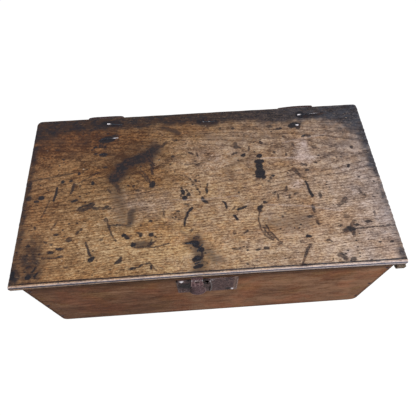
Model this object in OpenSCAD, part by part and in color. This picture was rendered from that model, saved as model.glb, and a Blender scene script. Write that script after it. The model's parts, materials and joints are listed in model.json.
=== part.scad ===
// Boarded oak box with a nailed carcase, a one-board lid on iron strap hinges
// and a hasp that shuts into a sliding-bolt lock on the front board.
// Millimetres. X runs across the front, -Y faces the user, +Z is up.
// The origin is the middle of the underside.

/* [Body] */
// Width of the body across the front
body_w = 620; // [560:1:680]
// Depth of the body from its front face to its back face
body_d = 352; // [330:1:380]
// Height of the body from the floor to the underside of the lid
body_h = 209; // [190:1:230]
// Thickness of the front and back boards
board_t = 15; // [15:0.5:17]
// Thickness of the two side boards
side_t = 14; // [12:0.5:16]
// Thickness of the bottom board
bottom_t = 11; // [9:0.5:13]
// Thickness of the lap left in front of the rebates of the front and back boards
lap_t = 5; // [4:0.5:6]

/* [Lid] */
// How far each end of the lid stands out past the body
lid_end_over = 20; // [18:1:26]
// How far the lid stands out past the front board
lid_front_over = 2; // [1:0.5:3]
// Gap between the lid's back edge and the plane of the back board
lid_back_gap = 0.8; // [0.6:0.1:1.2]
// Thickness of the lid board
lid_t = 14; // [13:0.5:16]
// Radius of the two beads along the lid's front edge
bead_r = 2.6; // [2.2:0.1:2.8]
// Distance from the front edge to the scratched line on top of the lid
scratch_in = 6; // [5:0.5:9]
// Radius to which the lid's back left corner is worn round
left_corner_r = 11; // [6:1:16]
// Radius to which the lid's back right corner is worn round
right_corner_r = 7; // [4:1:12]

/* [Cleats] */
// Width of the cleats under the ends of the lid
cleat_w = 15; // [14:0.5:17]
// Depth of the cleats below the lid
cleat_h = 14; // [13:1:20]
// How far the right cleat's front end stands out past the lid's front edge
right_cleat_out = 2; // [0:0.5:3]
// How far the left cleat's front end stands back from the lid's front edge
left_cleat_back = 42; // [20:1:80]

/* [Hinges] */
// Middle of the left hinge
left_hinge_x = -192; // [-230:1:-150]
// Middle of the right hinge
right_hinge_x = 203; // [150:1:230]
// Width of the hinge leaf on the back board
leaf_w = 70; // [64:1:80]
// Height of the hinge leaf below the pin
leaf_h = 52; // [46:1:70]
// Thickness of all the forged iron straps and leaves
iron_t = 2.6; // [2.2:0.1:3]
// Outer radius of the rolled hinge knuckles
knuckle_r = 4.2; // [4:0.1:4.6]
// Radius of the hinge pins
pin_r = 2; // [1.8:0.1:2.2]
// Length of the lid straps under the lid
strap_l = 106; // [104:1:125]
// Width of the lid straps at the knuckle
strap_w = 24; // [20:1:28]

/* [Hasp] */
// Middle of the hasp across the front
hasp_x = -23.3; // [-26:0.1:-22]
// Distance of the hasp's pin in front of the lock plate
hasp_pin_out = 8; // [7.5:0.1:8.5]
// Tilt of the hanging hasp away from the lock plate
hasp_tilt = 14; // [14:0.5:15]
// Length of the hasp below its pin
hasp_l = 42; // [41:0.5:45]
// Width of the rounded lower lobe
hasp_w = 28; // [26:0.5:31]
// Width of the hasp at its waist
hasp_waist = 10.5; // [10:0.5:12]

/* [Lock] */
// Width of the lock plate
plate_w = 106; // [104:1:112]
// Height of the lock plate
plate_h = 68; // [66:1:70]
// Middle of the lock plate across the front
plate_x = -6; // [-8:0.5:-4]
// Thickness of the lock plate
plate_t = 1.6; // [1.4:0.1:1.8]
// Middle of the keyhole across the front
key_x = -7; // [-7.5:0.1:-6]
// Radius of the round part of the keyhole
key_r = 4.2; // [3.8:0.1:4.6]
// Travel of the bolt
bolt_throw = 14; // [13:0.5:14.5]

/* [Nails] */
// Radius of the nail shanks
nail_r = 1.6; // [1.4:0.1:1.8]
// Radius of the hammered nail heads
head_r = 4; // [3.6:0.1:4.4]

/* [Hidden] */
$fn = 48;

// Fits
fit = 0.05;          // radial clearance of pins and nails in their holes
side_gap = 0.5;      // gap between neighbouring knuckles
pin_head_t = 1.4;    // thickness of a pin's hammered head
head_h = 1.7;        // height of a rose head
nail_point = 4;      // length of a nail's point
long_nail = 32;      // nails of the boards
short_nail = 13;     // nails of the lock plate and hinge leaves
clench_rise = 0.3;   // how far a clenched nail's bend stands above the lid
countersink = 2;     // depth of the bottom board's nail heads

// Body planes
front_y = -body_d / 2;
back_y = body_d / 2;
inner_x = body_w / 2 - side_t;
inner_front_y = front_y + board_t;
inner_back_y = back_y - board_t;
side_front_y = front_y + lap_t;
side_back_y = back_y - lap_t;
wood_nail_x = body_w / 2 - side_t / 2;
wood_nail_zs = [32, 112, body_h - 11];
bottom_nail_ys = [-120, 0, 120];

// Lid planes
lid_z = body_h;
lid_top = body_h + lid_t;
lid_w = body_w + 2 * lid_end_over;
lid_front = front_y - lid_front_over;
lid_back = back_y - lid_back_gap;
cleat_in_x = lid_w / 2 - cleat_w;
cleat_mid_x = lid_w / 2 - cleat_w / 2;
cleat_back_y = lid_back - 6;
cleat_round = 4;     // radius of the cleats' lower arrises
cleat_end_r = 5;     // radius of the hollow at the lower corner of each end
left_cleat_nail_ys = [-105, 20, 140];
right_cleat_nail_ys = [-150, 0, 140];

// Hinge planes: the leaf lies on the back board, tangent to its knuckles
hinge_y = back_y + knuckle_r;
hinge_z = body_h + 5;
strap_notch = iron_t + 0.6;
strap_end_r = 12;
strap_tip_w = 15;
leaf_wing_h = 36;    // height of the leaf's wings beside its lower tongue
leaf_tongue_w = 48;
leaf_cut = 4;        // cut-off corners of the leaf
// Nails of a hinge leaf: from its middle line, then from its pin
leaf_nail_spots = [[-27, -21], [27, -21], [-17, -41], [17, -41]];
// Lid strap nails: distance from the strap's middle line, then the place along Y
left_strap_nail_spots = [[6, 157], [-4, 118], [2, 81]];
right_strap_nail_spots = [[0, 153], [-5, 126], [2, 99]];
// Their clenched points on top of the lid: direction in degrees and length
left_clenches = [[-8, 30], [3, 33], [180, 9]];
right_clenches = [[3, 46], [170, 13], [200, 6]];
old_nail_spot = [7, 148.5];

// Hasp planes
hasp_pin_r = 1.5;
hasp_pin_y = front_y - plate_t - hasp_pin_out;
hasp_knuckle_r = 3.6;
hasp_pin_z = lid_z - hasp_knuckle_r;
hasp_strap_w = 19;
hasp_strap_back = -115;
hasp_eye_w = 7;
hasp_nail_spots = [[1.6, -120], [4.1, -133], [0, -146], [-1, -155.5]];
hasp_clenches = [[174, 16], [52, 15], [0, 7], [17, 10]];
lobe_back = hasp_pin_out - 0.4;      // the lobe's back face behind the pin, hasp shut
lobe_front = lobe_back - iron_t;
neck_d = 10;

// Lock planes
lock_y = front_y - plate_t;
plate_top = body_h - strap_notch;
key_z = body_h - 15.5;
bolt_z = body_h - 34.6;
bolt_h = 8;
bolt_t = 2;
bolt_y = front_y + 0.3;
bolt_tip_x = -16.5;
bolt_tail_x = 42;
pocket_x0 = -41;
pocket_x1 = 45;
pocket_z0 = body_h - 48;
pocket_z1 = body_h - 16;
pocket_d = 11;
bit_r = 16.5;
cap_x0 = key_x - bit_r - 1;
cap_x1 = key_x + bit_r + 1.5;
cap_top = body_h - 6.5;
plate_nail_dx = 44;
plate_nail_z0 = body_h - 63;
plate_nail_z1 = body_h - 8.5;
guide_xs = [[8.5, 13], [18, 22]];    // the bolt's two guides
guide_t = 1.5;       // thickness of the guides' and keeper's iron
bolt_play = 0.3;     // clearance of the bolt in them
spring_r = 30;
spring_t = 0.9;
spring_touch_x = 25.5;
cap_t = 1.4;
cap_d = 8;
stem_r = 2.3;        // hole for the end of the key's stem
guard_r = 130;
guard_w = 2.6;
guard_l = 56;
guard_dx = 9.6;      // outer side of the guard from the keyhole
ward_r = 7.2;
rim_w = 2.4;         // raised rims along the ends of the plate
rim_t = 1;
staple_d = hasp_pin_z - bolt_z;
staple_w = 3;
staple_wire = 1.7;
staple_h = 13;
staple_reach = bolt_y + bolt_t + 0.8 - hasp_pin_y;   // inner end of the loop behind the pin

oak = "saddlebrown";
oak_dark = [0.36, 0.2, 0.1];
iron = [0.22, 0.21, 0.23];
iron_bright = [0.38, 0.36, 0.37];

// ---------- helpers ----------

// Extrudes a (Y, Z) outline along X, centred on x = 0
module along_x(len) {
    rotate([90, 0, 90]) linear_extrude(len, center = true) children();
}

// Extrudes an (X, Z) outline from y0 back to y1
module between_y(y0, y1) {
    translate([0, y1, 0]) rotate([90, 0, 0]) linear_extrude(y1 - y0) children();
}

// Box between two corners
module block(a, b) {
    translate(a) cube([b[0] - a[0], b[1] - a[1], b[2] - a[2]]);
}

// Rose-headed nail: the head stands on z = 0 and the shank points down
module rose_nail(len, spin = 0) {
    rotate(spin) cylinder(h = head_h, r1 = head_r, r2 = head_r * 0.3, $fn = 6);
    translate([0, 0, nail_point - len]) cylinder(h = len - nail_point, r = nail_r);
    translate([0, 0, -len]) cylinder(h = nail_point, r1 = 0.4, r2 = nail_r);
}

// Flat-headed nail driven up from under a strap, its point hammered flat on the lid
module clenched_nail(under_z, dir, len) {
    translate([0, 0, under_z - 1.5]) cylinder(h = 1.5, r1 = head_r * 0.8, r2 = head_r);
    translate([0, 0, under_z]) cylinder(h = lid_top - under_z + clench_rise, r = nail_r);
    intersection() {
        translate([0, 0, lid_top]) rotate([0, 90, dir]) cylinder(h = len, r1 = nail_r, r2 = 0.7);
        translate([-60, -60, lid_top]) cube([120, 120, 10]);
    }
    intersection() {
        translate([0, 0, lid_top]) sphere(nail_r);
        translate([-5, -5, lid_top]) cube(10);
    }
}

// Hole for a nail along Z
module nail_hole_z(z0, z1) {
    translate([0, 0, z0]) cylinder(h = z1 - z0, r = nail_r + fit);
}

// Hole for a nail along Y
module nail_hole_y(y0, y1) {
    translate([0, y1, 0]) rotate([90, 0, 0]) cylinder(h = y1 - y0, r = nail_r + fit);
}

// Hole for a pin along X, right through a piece of the given width
module bore_x(width, r) {
    rotate([0, 90, 0]) cylinder(h = width + 2, r = r + fit, center = true);
}

// Knuckle rolled about the X axis, centred on x = 0 and bored for a pin
module knuckle(width, bore_r, r = knuckle_r) {
    difference() {
        rotate([0, 90, 0]) cylinder(h = width, r = r, center = true);
        bore_x(width, bore_r);
    }
}

// Pin along X with both ends hammered over
module headed_pin(width, r, head) {
    rotate([0, 90, 0]) {
        cylinder(h = width, r = r, center = true);
        for (s = [-1, 1]) translate([0, 0, s * (width / 2 + pin_head_t / 2)])
            cylinder(h = pin_head_t, r = r + head, center = true);
    }
}

// ---------- body ----------

// Board with the rebates that take the ends of the sides and the bottom
module rebated_board() {
    difference() {
        block([-body_w / 2, front_y, 0], [body_w / 2, inner_front_y, body_h]);
        for (s = [-1, 1])
            translate([s * body_w / 2, 0, 0])
                block([-side_t, side_front_y, -1], [side_t, inner_front_y + 1, body_h + 1]);
        block([-body_w / 2 - 1, side_front_y, -1], [body_w / 2 + 1, inner_front_y + 1, bottom_t]);
        for (s = [-1, 1], z = wood_nail_zs)
            translate([s * wood_nail_x, 0, z]) nail_hole_y(front_y - 1, side_front_y + 1);
    }
}

module front_board() color(oak) difference() {
    rebated_board();
    // seat for the lock behind its plate, higher where the key turns
    block([pocket_x0, front_y - 1, pocket_z0], [pocket_x1, front_y + pocket_d, pocket_z1]);
    block([cap_x0 - 1, front_y - 1, pocket_z0], [cap_x1 + 1, front_y + pocket_d, cap_top + 0.5]);
    // notch that the hasp strap passes over
    block([hasp_x - hasp_strap_w / 2 - 0.7, front_y - 1, body_h - strap_notch],
          [hasp_x + hasp_strap_w / 2 + 0.7, inner_front_y + 1, body_h + 1]);
    for (s = [-1, 1], z = [plate_nail_z0, plate_nail_z1])
        translate([plate_x + s * plate_nail_dx, 0, z]) nail_hole_y(front_y - 1, lock_y + short_nail + 1);
}

module back_board() color(oak_dark) difference() {
    mirror([0, 1, 0]) rebated_board();
    for (x = [left_hinge_x, right_hinge_x]) {
        block([x - strap_w / 2 - 0.7, inner_back_y - 1, body_h - strap_notch],
              [x + strap_w / 2 + 0.7, back_y + 1, body_h + 1]);
        leaf_nail_places(x) nail_hole_y(back_y + iron_t - short_nail - 1, back_y + 1);
    }
}

// End board, its nail holes running in from both ends and from below
module side_board() difference() {
    block([inner_x, side_front_y, bottom_t], [body_w / 2, side_back_y, body_h]);
    for (z = wood_nail_zs) {
        translate([wood_nail_x, 0, z]) nail_hole_y(side_front_y - 1, front_y + long_nail + 2);
        translate([wood_nail_x, 0, z]) nail_hole_y(back_y - long_nail - 2, side_back_y + 1);
    }
    for (y = bottom_nail_ys)
        translate([wood_nail_x, y, 0]) nail_hole_z(bottom_t - 1, countersink + long_nail);
}

module left_side_board() color(oak_dark) mirror([1, 0, 0]) side_board();
module right_side_board() color(oak_dark) side_board();

// Places of the nails driven up through the bottom board
module bottom_nail_places() {
    for (s = [-1, 1], y = bottom_nail_ys) translate([s * wood_nail_x, y, 0]) children();
}

module bottom_board() color(oak_dark) difference() {
    block([-body_w / 2, side_front_y, 0], [body_w / 2, side_back_y, bottom_t]);
    bottom_nail_places() {
        nail_hole_z(0, bottom_t + 1);
        translate([0, 0, -1]) cylinder(h = countersink + 1, r = head_r + 0.3);
    }
}

// Three nails at each end, driven through the lap into the end grain of the side
module front_nails() color(iron) {
    for (s = [-1, 1], i = [0 : len(wood_nail_zs) - 1])
        translate([s * wood_nail_x, front_y, wood_nail_zs[i]])
            rotate([90, 0, 0]) rose_nail(long_nail, 17 * i + 20 * s);
}

module back_nails() color(iron) {
    for (s = [-1, 1], i = [0 : len(wood_nail_zs) - 1])
        translate([s * wood_nail_x, back_y, wood_nail_zs[i]])
            rotate([-90, 0, 0]) rose_nail(long_nail, 23 * i + 11 * s);
}

module bottom_nails() color(iron) {
    bottom_nail_places() translate([0, 0, countersink]) rotate([180, 0, 0]) rose_nail(long_nail - 2);
}

// ---------- lid ----------

// (Y, Z) section of the lid: two beads and a quirk on the front edge,
// a fillet below them and a scratched line on top
module lid_section() {
    edge = lid_front + bead_r;
    bead_gap = (lid_t - 4 * bead_r) * 0.4;
    difference() {
        union() {
            translate([edge, lid_z]) square([lid_back - edge, lid_t]);
            translate([edge, lid_top - bead_r]) circle(bead_r);
            translate([edge, lid_top - 3 * bead_r - bead_gap]) circle(bead_r);
            translate([lid_front + 0.6 * bead_r, lid_z]) square([bead_r, lid_t - bead_r]);
        }
        translate([lid_front + scratch_in, lid_top]) circle(0.7);
    }
}

// Places of the nails that are clenched over on top of the lid
module lid_nail_places() {
    for (p = left_strap_nail_spots) translate([left_hinge_x + p[0], p[1], 0]) children();
    for (p = right_strap_nail_spots) translate([right_hinge_x + p[0], p[1], 0]) children();
    for (p = hasp_nail_spots) translate([hasp_x + p[0], p[1], 0]) children();
    translate([old_nail_spot[0], old_nail_spot[1], 0]) children();
}

// Places of the nails driven up through the cleats
module cleat_nail_places() {
    for (y = left_cleat_nail_ys) translate([-cleat_mid_x, y, 0]) children();
    for (y = right_cleat_nail_ys) translate([cleat_mid_x, y, 0]) children();
}

// Takes off the back right corner of the lid outside radius r
module corner_waste(r) translate([lid_w / 2 - r, lid_back - r, lid_z - 1]) difference() {
    cube([r + 1, r + 1, lid_t + 2]);
    cylinder(h = lid_t + 2, r = r);
}

module lid_board() color(oak) difference() {
    along_x(lid_w) lid_section();
    corner_waste(right_corner_r);
    mirror([1, 0, 0]) corner_waste(left_corner_r);
    lid_nail_places() nail_hole_z(lid_z - 1, lid_top + 1);
    cleat_nail_places() nail_hole_z(lid_z - 1, lid_z + 9);
}

// (X, Z) outline of a cleat's end, its lower arrises rounded over
module cleat_end() {
    z = lid_z - cleat_h + cleat_round;
    translate([cleat_in_x, z]) square([cleat_w, cleat_h - cleat_round]);
    translate([cleat_in_x + cleat_round, lid_z - cleat_h])
        square([cleat_w - 2 * cleat_round, cleat_round]);
    for (x = [cleat_in_x + cleat_round, lid_w / 2 - cleat_round])
        translate([x, z]) circle(cleat_round);
}

// (Y, Z) outline of a cleat, both ends cut back in a curve at the bottom
module cleat_side(y0) difference() {
    translate([y0, lid_z - cleat_h]) square([cleat_back_y - y0, cleat_h]);
    for (y = [y0, cleat_back_y]) translate([y, lid_z - cleat_h]) circle(cleat_end_r);
}

// Cleat under the right end of the lid, from y0 to the back
module cleat(y0, nail_ys) difference() {
    intersection() {
        translate([cleat_mid_x, 0, 0]) along_x(cleat_w + 2) cleat_side(y0);
        between_y(y0 - 1, cleat_back_y + 1) cleat_end();
    }
    for (y = nail_ys) translate([cleat_mid_x, y, 0]) nail_hole_z(lid_z - cleat_h - 1, lid_z + 1);
}

module right_cleat() color(oak_dark) cleat(lid_front - right_cleat_out, right_cleat_nail_ys);
module left_cleat() color(oak_dark) mirror([1, 0, 0])
    cleat(lid_front + left_cleat_back, left_cleat_nail_ys);

module cleat_nails() color(iron) {
    cleat_nail_places() translate([0, 0, lid_z - cleat_h]) rotate([180, 0, 0]) rose_nail(cleat_h + 8);
}

module old_lid_nail() color(iron) {
    translate([old_nail_spot[0], old_nail_spot[1], 0]) clenched_nail(lid_z, 0, 24);
}

// ---------- hinges ----------

// Four nails to a hinge leaf
module leaf_nail_places(x) {
    for (p = leaf_nail_spots)
        translate([x + p[0], 0, hinge_z + p[1]]) children();
}

// (X, Z) outline of the leaf below its pin: two wings and a lower tongue
module leaf_outline() {
    w = leaf_w / 2;
    t = leaf_tongue_w / 2;
    polygon([[-w, 0], [-w, leaf_cut + 2 - leaf_wing_h], [leaf_cut + 2 - w, -leaf_wing_h],
             [-t, -leaf_wing_h], [-t, leaf_cut - leaf_h], [leaf_cut - t, -leaf_h],
             [t - leaf_cut, -leaf_h], [t, leaf_cut - leaf_h], [t, -leaf_wing_h],
             [w - leaf_cut - 2, -leaf_wing_h], [w, leaf_cut + 2 - leaf_wing_h], [w, 0]]);
}

// Leaf on the back board with its two outer knuckles
module hinge_leaf(x) difference() {
    union() {
        between_y(back_y, back_y + iron_t) translate([x, hinge_z]) leaf_outline();
        translate([x, hinge_y, hinge_z]) knuckle(leaf_w, pin_r);
    }
    // room for the lid strap and its knuckle
    block([x - strap_w / 2 - side_gap, back_y - 1, body_h - strap_notch - 0.4],
          [x + strap_w / 2 + side_gap, hinge_y + knuckle_r + 1, hinge_z + knuckle_r + 1]);
    translate([x, hinge_y, hinge_z]) bore_x(leaf_w, pin_r);
    leaf_nail_places(x) nail_hole_y(back_y - 1, back_y + iron_t + 1);
}

module left_hinge_leaf() color(iron) hinge_leaf(left_hinge_x);
module right_hinge_leaf() color(iron) hinge_leaf(right_hinge_x);

module hinge_pin(x) translate([x, hinge_y, hinge_z]) headed_pin(leaf_w, pin_r, 1.2);

module left_hinge_pin() color(iron_bright) hinge_pin(left_hinge_x);
module right_hinge_pin() color(iron_bright) hinge_pin(right_hinge_x);

module leaf_nails(x) leaf_nail_places(x)
    translate([0, back_y + iron_t, 0]) rotate([-90, 0, 0]) rose_nail(short_nail);

module left_leaf_nails() color(iron) leaf_nails(left_hinge_x);
module right_leaf_nails() color(iron) leaf_nails(right_hinge_x);

// Strap under the lid: tapered, with a round end, cranked up behind the lid to its knuckle
module lid_strap(x, spots) difference() {
    tip_y = lid_back - strap_l + strap_end_r;
    union() {
        translate([x, 0, lid_z - iron_t]) linear_extrude(iron_t) {
            polygon([[-strap_w / 2, back_y + iron_t], [strap_w / 2, back_y + iron_t],
                     [strap_w / 2, inner_back_y - 8], [strap_tip_w / 2, tip_y],
                     [-strap_tip_w / 2, tip_y], [-strap_w / 2, inner_back_y - 8]]);
            translate([0, tip_y]) circle(strap_end_r);
        }
        block([x - strap_w / 2, back_y, lid_z - iron_t], [x + strap_w / 2, back_y + iron_t, hinge_z]);
        translate([x, hinge_y, hinge_z]) knuckle(strap_w, pin_r);
    }
    translate([x, hinge_y, hinge_z]) bore_x(strap_w, pin_r);
    for (p = spots) translate([x + p[0], p[1], 0]) nail_hole_z(lid_z - iron_t - 1, lid_z + 1);
}

module left_lid_strap() color(iron) lid_strap(left_hinge_x, left_strap_nail_spots);
module right_lid_strap() color(iron) lid_strap(right_hinge_x, right_strap_nail_spots);

module strap_nails(x, spots, clenches) {
    for (i = [0 : len(spots) - 1])
        translate([x + spots[i][0], spots[i][1], 0])
            clenched_nail(lid_z - iron_t, clenches[i][0], clenches[i][1]);
}

module left_strap_nails() color(iron) strap_nails(left_hinge_x, left_strap_nail_spots, left_clenches);
module right_strap_nails() color(iron) strap_nails(right_hinge_x, right_strap_nail_spots, right_clenches);

// ---------- hasp ----------

// Strap under the lid that carries the hasp, forked into two knuckles in front
module hasp_strap() color(iron) difference() {
    union() {
        translate([hasp_x, 0, lid_z - iron_t]) linear_extrude(iron_t) {
            translate([-hasp_strap_w / 2, hasp_pin_y])
                square([hasp_strap_w, hasp_strap_back - hasp_pin_y - hasp_strap_w / 2]);
            translate([0, hasp_strap_back - hasp_strap_w / 2]) circle(hasp_strap_w / 2);
        }
        translate([hasp_x, hasp_pin_y, hasp_pin_z])
            knuckle(hasp_strap_w, hasp_pin_r, hasp_knuckle_r);
    }
    // fork that the hasp's eye turns in
    block([hasp_x - hasp_eye_w / 2 - 0.4, hasp_pin_y - hasp_knuckle_r - 1, lid_z - 2 * hasp_knuckle_r - 1],
          [hasp_x + hasp_eye_w / 2 + 0.4, hasp_pin_y + hasp_knuckle_r + 0.5, lid_z + 1]);
    translate([hasp_x, hasp_pin_y, hasp_pin_z]) bore_x(hasp_strap_w, hasp_pin_r);
    for (p = hasp_nail_spots)
        translate([hasp_x + p[0], p[1], 0]) nail_hole_z(lid_z - iron_t - 1, lid_z + 1);
}

module hasp_strap_nails() color(iron) strap_nails(hasp_x, hasp_nail_spots, hasp_clenches);

module hasp_pin() color(iron_bright) translate([hasp_x, hasp_pin_y, hasp_pin_z])
    headed_pin(hasp_strap_w, hasp_pin_r, 0.9);

// Puts a hasp piece, drawn shut about its pin, where it hangs
module hung() {
    translate([hasp_x, hasp_pin_y, hasp_pin_z]) rotate([-hasp_tilt, 0, 0]) children();
}

// (X, Z) outline of the hasp below its neck
module lobe_outline() {
    r = hasp_w / 2;
    shoulder = -hasp_l + r + 5;
    translate([0, -hasp_l + r]) circle(r);
    polygon([[-hasp_waist / 2, -neck_d - 1.5], [-hasp_waist / 2 + 1, -neck_d + 1],
             [hasp_waist / 2 - 1, -neck_d + 1], [hasp_waist / 2, -neck_d - 1.5],
             [sqrt(r * r - 25), shoulder], [-sqrt(r * r - 25), shoulder]]);
}

// Hasp: an eye on the pin, a crank back towards the plate and a rounded lobe
module hasp_plate() color(iron) hung() difference() {
    union() {
        knuckle(hasp_eye_w, hasp_pin_r, hasp_knuckle_r);
        // narrow root of the crank inside the fork
        along_x(hasp_eye_w) polygon([[-2, -2.6], [1.2, -3.2], [3.7, -5.6], [1.2, -6]]);
        // wide part of the crank
        along_x(hasp_waist - 1) polygon([[1, -5], [3.9, -5], [lobe_back, -neck_d],
                                         [lobe_front, -neck_d - 1]]);
        between_y(lobe_front, lobe_back) lobe_outline();
    }
    bore_x(hasp_eye_w, hasp_pin_r);
}

// Staple riveted on the back of the hasp: the bolt runs through its loop
module hasp_staple() color(iron_bright) hung() difference() {
    block([-staple_w / 2, lobe_back, -staple_d - staple_h / 2],
          [staple_w / 2, staple_reach + staple_wire, -staple_d + staple_h / 2]);
    block([-staple_w, lobe_back - 1, -staple_d - staple_h / 2 + staple_wire],
          [staple_w, staple_reach, -staple_d + staple_h / 2 - staple_wire]);
    for (s = [-1, 1]) translate([0, staple_reach + staple_wire, -staple_d + s * staple_h / 2])
        rotate([45, 0, 0]) cube([staple_w + 1, 2.2, 2.2], center = true);
}

// ---------- lock ----------

// Keyhole: a round top over a straight slot for the bit
module keyhole() {
    translate([key_x, key_z]) circle(key_r);
    translate([key_x - 2.5, key_z - bit_r - 0.5]) square([5, bit_r]);
}

// Slot in the plate for the staple, longer below for its swing
module staple_slot() {
    translate([hasp_x - staple_w / 2 - 1.1, bolt_z - staple_h / 2 - 3.2])
        square([staple_w + 2.2, staple_h + 4]);
}

module lock_plate() color(iron) difference() {
    union() {
        between_y(lock_y, front_y) translate([plate_x - plate_w / 2, plate_top - plate_h])
            difference() {
                square([plate_w, plate_h]);
                // clipped corners
                for (c = [[0, 0], [plate_w, 0], [0, plate_h], [plate_w, plate_h]])
                    translate(c) rotate(45) square(3, center = true);
            }
        for (s = [-1, 1]) between_y(lock_y - rim_t, front_y - plate_t / 2)
            translate([plate_x + s * (plate_w / 2 - 2), plate_top - plate_h / 2])
                square([rim_w, plate_h - 6], center = true);
    }
    between_y(lock_y - 2, front_y + 1) {
        keyhole();
        staple_slot();
    }
    plate_nail_places() nail_hole_y(lock_y - 1, front_y + 1);
}

module plate_nail_places() {
    for (s = [-1, 1], z = [plate_nail_z0, plate_nail_z1])
        translate([plate_x + s * plate_nail_dx, 0, z]) children();
}

module lock_plate_nails() color(iron) {
    plate_nail_places() translate([0, lock_y, 0]) rotate([90, 0, 0]) rose_nail(short_nail, 10);
}

// (X, Z) outline of a strip bent round the origin, r to its outer side
module bent_strip(r, t) difference() {
    circle(r, $fn = 96);
    circle(r - t, $fn = 96);
}

// Bowed bar that keeps the key in line, standing on the plate beside the keyhole
module key_guard() color(iron_bright) {
    mid_z = plate_top - plate_h / 2;
    between_y(lock_y - rim_t - 1.4, lock_y) intersection() {
        translate([key_x + guard_dx - guard_r, mid_z]) bent_strip(guard_r, guard_w);
        translate([key_x, mid_z - guard_l / 2]) square([20, guard_l]);
    }
}

// Bolt drawn back, with the talon that the key's bit pushes
module lock_bolt() color(iron_bright) between_y(bolt_y, bolt_y + bolt_t) difference() {
    translate([bolt_tip_x, bolt_z - bolt_h / 2]) square([bolt_tail_x - bolt_tip_x, bolt_h]);
    translate([key_x + bolt_throw / 2 - 4, bolt_z + bolt_h / 2 - 4]) square([8, 5]);
    for (s = [-1, 1]) translate([bolt_tip_x, bolt_z + s * bolt_h / 2])
        rotate(45) square(2, center = true);
}

// Bridge over the bolt, riveted to the back of the plate
module bolt_bridge(x0, x1) {
    h = bolt_h / 2 + bolt_play;
    y = bolt_y + bolt_t + bolt_play;
    difference() {
        block([x0, front_y, bolt_z - h - guide_t], [x1, y + guide_t, bolt_z + h + guide_t]);
        block([x0 - 1, front_y - 1, bolt_z - h], [x1 + 1, y, bolt_z + h]);
    }
}

module bolt_guides() color(iron) for (g = guide_xs) bolt_bridge(g[0], g[1]);

module bolt_keeper() color(iron) bolt_bridge(hasp_x - 13, hasp_x - 6.5);

// Bent leaf spring: its tip bears on the top of the bolt, its tail is held by a stud
module bolt_spring() color(iron_bright) {
    touch_z = bolt_z + bolt_h / 2 + fit;
    between_y(bolt_y, bolt_y + bolt_t) intersection() {
        translate([spring_touch_x, touch_z + spring_r]) bent_strip(spring_r, spring_t);
        translate([spring_touch_x - 2.5, touch_z - 1]) square([18.5, 14]);
    }
    block([spring_touch_x + 13, front_y, touch_z + 2], [spring_touch_x + 17.5, bolt_y + bolt_t + 1, touch_z + 8]);
}

// Ring ward round the key's stem, open where the bit goes in
module key_ward() color(iron) between_y(front_y, front_y + 4) translate([key_x, key_z]) difference() {
    circle(ward_r);
    circle(ward_r - 1);
    polygon([[0, 0], [-9, -14], [9, -14]]);
}

// Cap over the key's path, open below, with a hole for the end of the key's stem
module lock_cap() color(iron) {
    z0 = bolt_z + bolt_h / 2 + 2;
    web_y = front_y + cap_d - cap_t;
    difference() {
        block([cap_x0, front_y, z0], [cap_x1, front_y + cap_d, cap_top]);
        block([cap_x0 + cap_t, front_y - 1, z0 - 1], [cap_x1 - cap_t, web_y, cap_top - cap_t]);
        translate([key_x, web_y + 2, key_z]) rotate([90, 0, 0]) cylinder(h = 4, r = stem_r);
        block([cap_x0 - 1, front_y - 1, z0 - 1], [cap_x1 + 1, web_y, z0 + 2.4]);
    }
}

front_board();
back_board();
left_side_board();
right_side_board();
bottom_board();
front_nails();
back_nails();
bottom_nails();
lid_board();
left_cleat();
right_cleat();
cleat_nails();
left_hinge_leaf();
right_hinge_leaf();
left_hinge_pin();
right_hinge_pin();
left_leaf_nails();
right_leaf_nails();
left_lid_strap();
right_lid_strap();
left_strap_nails();
right_strap_nails();
old_lid_nail();
hasp_strap();
hasp_strap_nails();
hasp_pin();
hasp_plate();
hasp_staple();
lock_plate();
lock_plate_nails();
key_guard();
lock_bolt();
bolt_guides();
bolt_keeper();
bolt_spring();
key_ward();
lock_cap();
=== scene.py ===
"""Looks of a boarded oak box with a hasp lock: worn oak, ink and iron stains, forged iron."""

import json
import math

import bmesh
import bpy
import numpy as np
from mathutils import Matrix, Vector


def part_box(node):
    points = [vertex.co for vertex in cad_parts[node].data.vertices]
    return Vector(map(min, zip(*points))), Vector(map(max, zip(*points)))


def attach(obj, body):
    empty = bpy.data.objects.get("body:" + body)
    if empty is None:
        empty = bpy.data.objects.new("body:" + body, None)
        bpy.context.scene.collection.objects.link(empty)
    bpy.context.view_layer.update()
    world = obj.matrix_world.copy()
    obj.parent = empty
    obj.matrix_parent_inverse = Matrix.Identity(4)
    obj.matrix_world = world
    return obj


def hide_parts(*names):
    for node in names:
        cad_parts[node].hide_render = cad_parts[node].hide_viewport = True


MM = 0.001

# sizes of the box in mm: the lid's half width, its faces from top to back, and half the body's width
LID_HALF = 330.0
LID_TOP, LID_LOW = 223.0, 209.0
LID_MIDDLE = (LID_TOP + LID_LOW) / 2
LID_FRONT, LID_BACK = -178.0, 175.2
BODY_HALF = 310.0

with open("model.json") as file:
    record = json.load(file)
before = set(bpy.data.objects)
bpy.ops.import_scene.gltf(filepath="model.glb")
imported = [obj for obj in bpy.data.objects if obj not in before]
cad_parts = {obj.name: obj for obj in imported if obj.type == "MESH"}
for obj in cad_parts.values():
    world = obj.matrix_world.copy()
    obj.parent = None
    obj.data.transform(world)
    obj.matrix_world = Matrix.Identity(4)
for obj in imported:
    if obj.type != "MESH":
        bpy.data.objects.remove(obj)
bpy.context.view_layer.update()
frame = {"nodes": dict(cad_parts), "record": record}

# ---------- smooth noise in numpy, for worn and hammered surfaces ----------

TABLE = np.random.default_rng(17).random((32, 32, 32))


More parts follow.
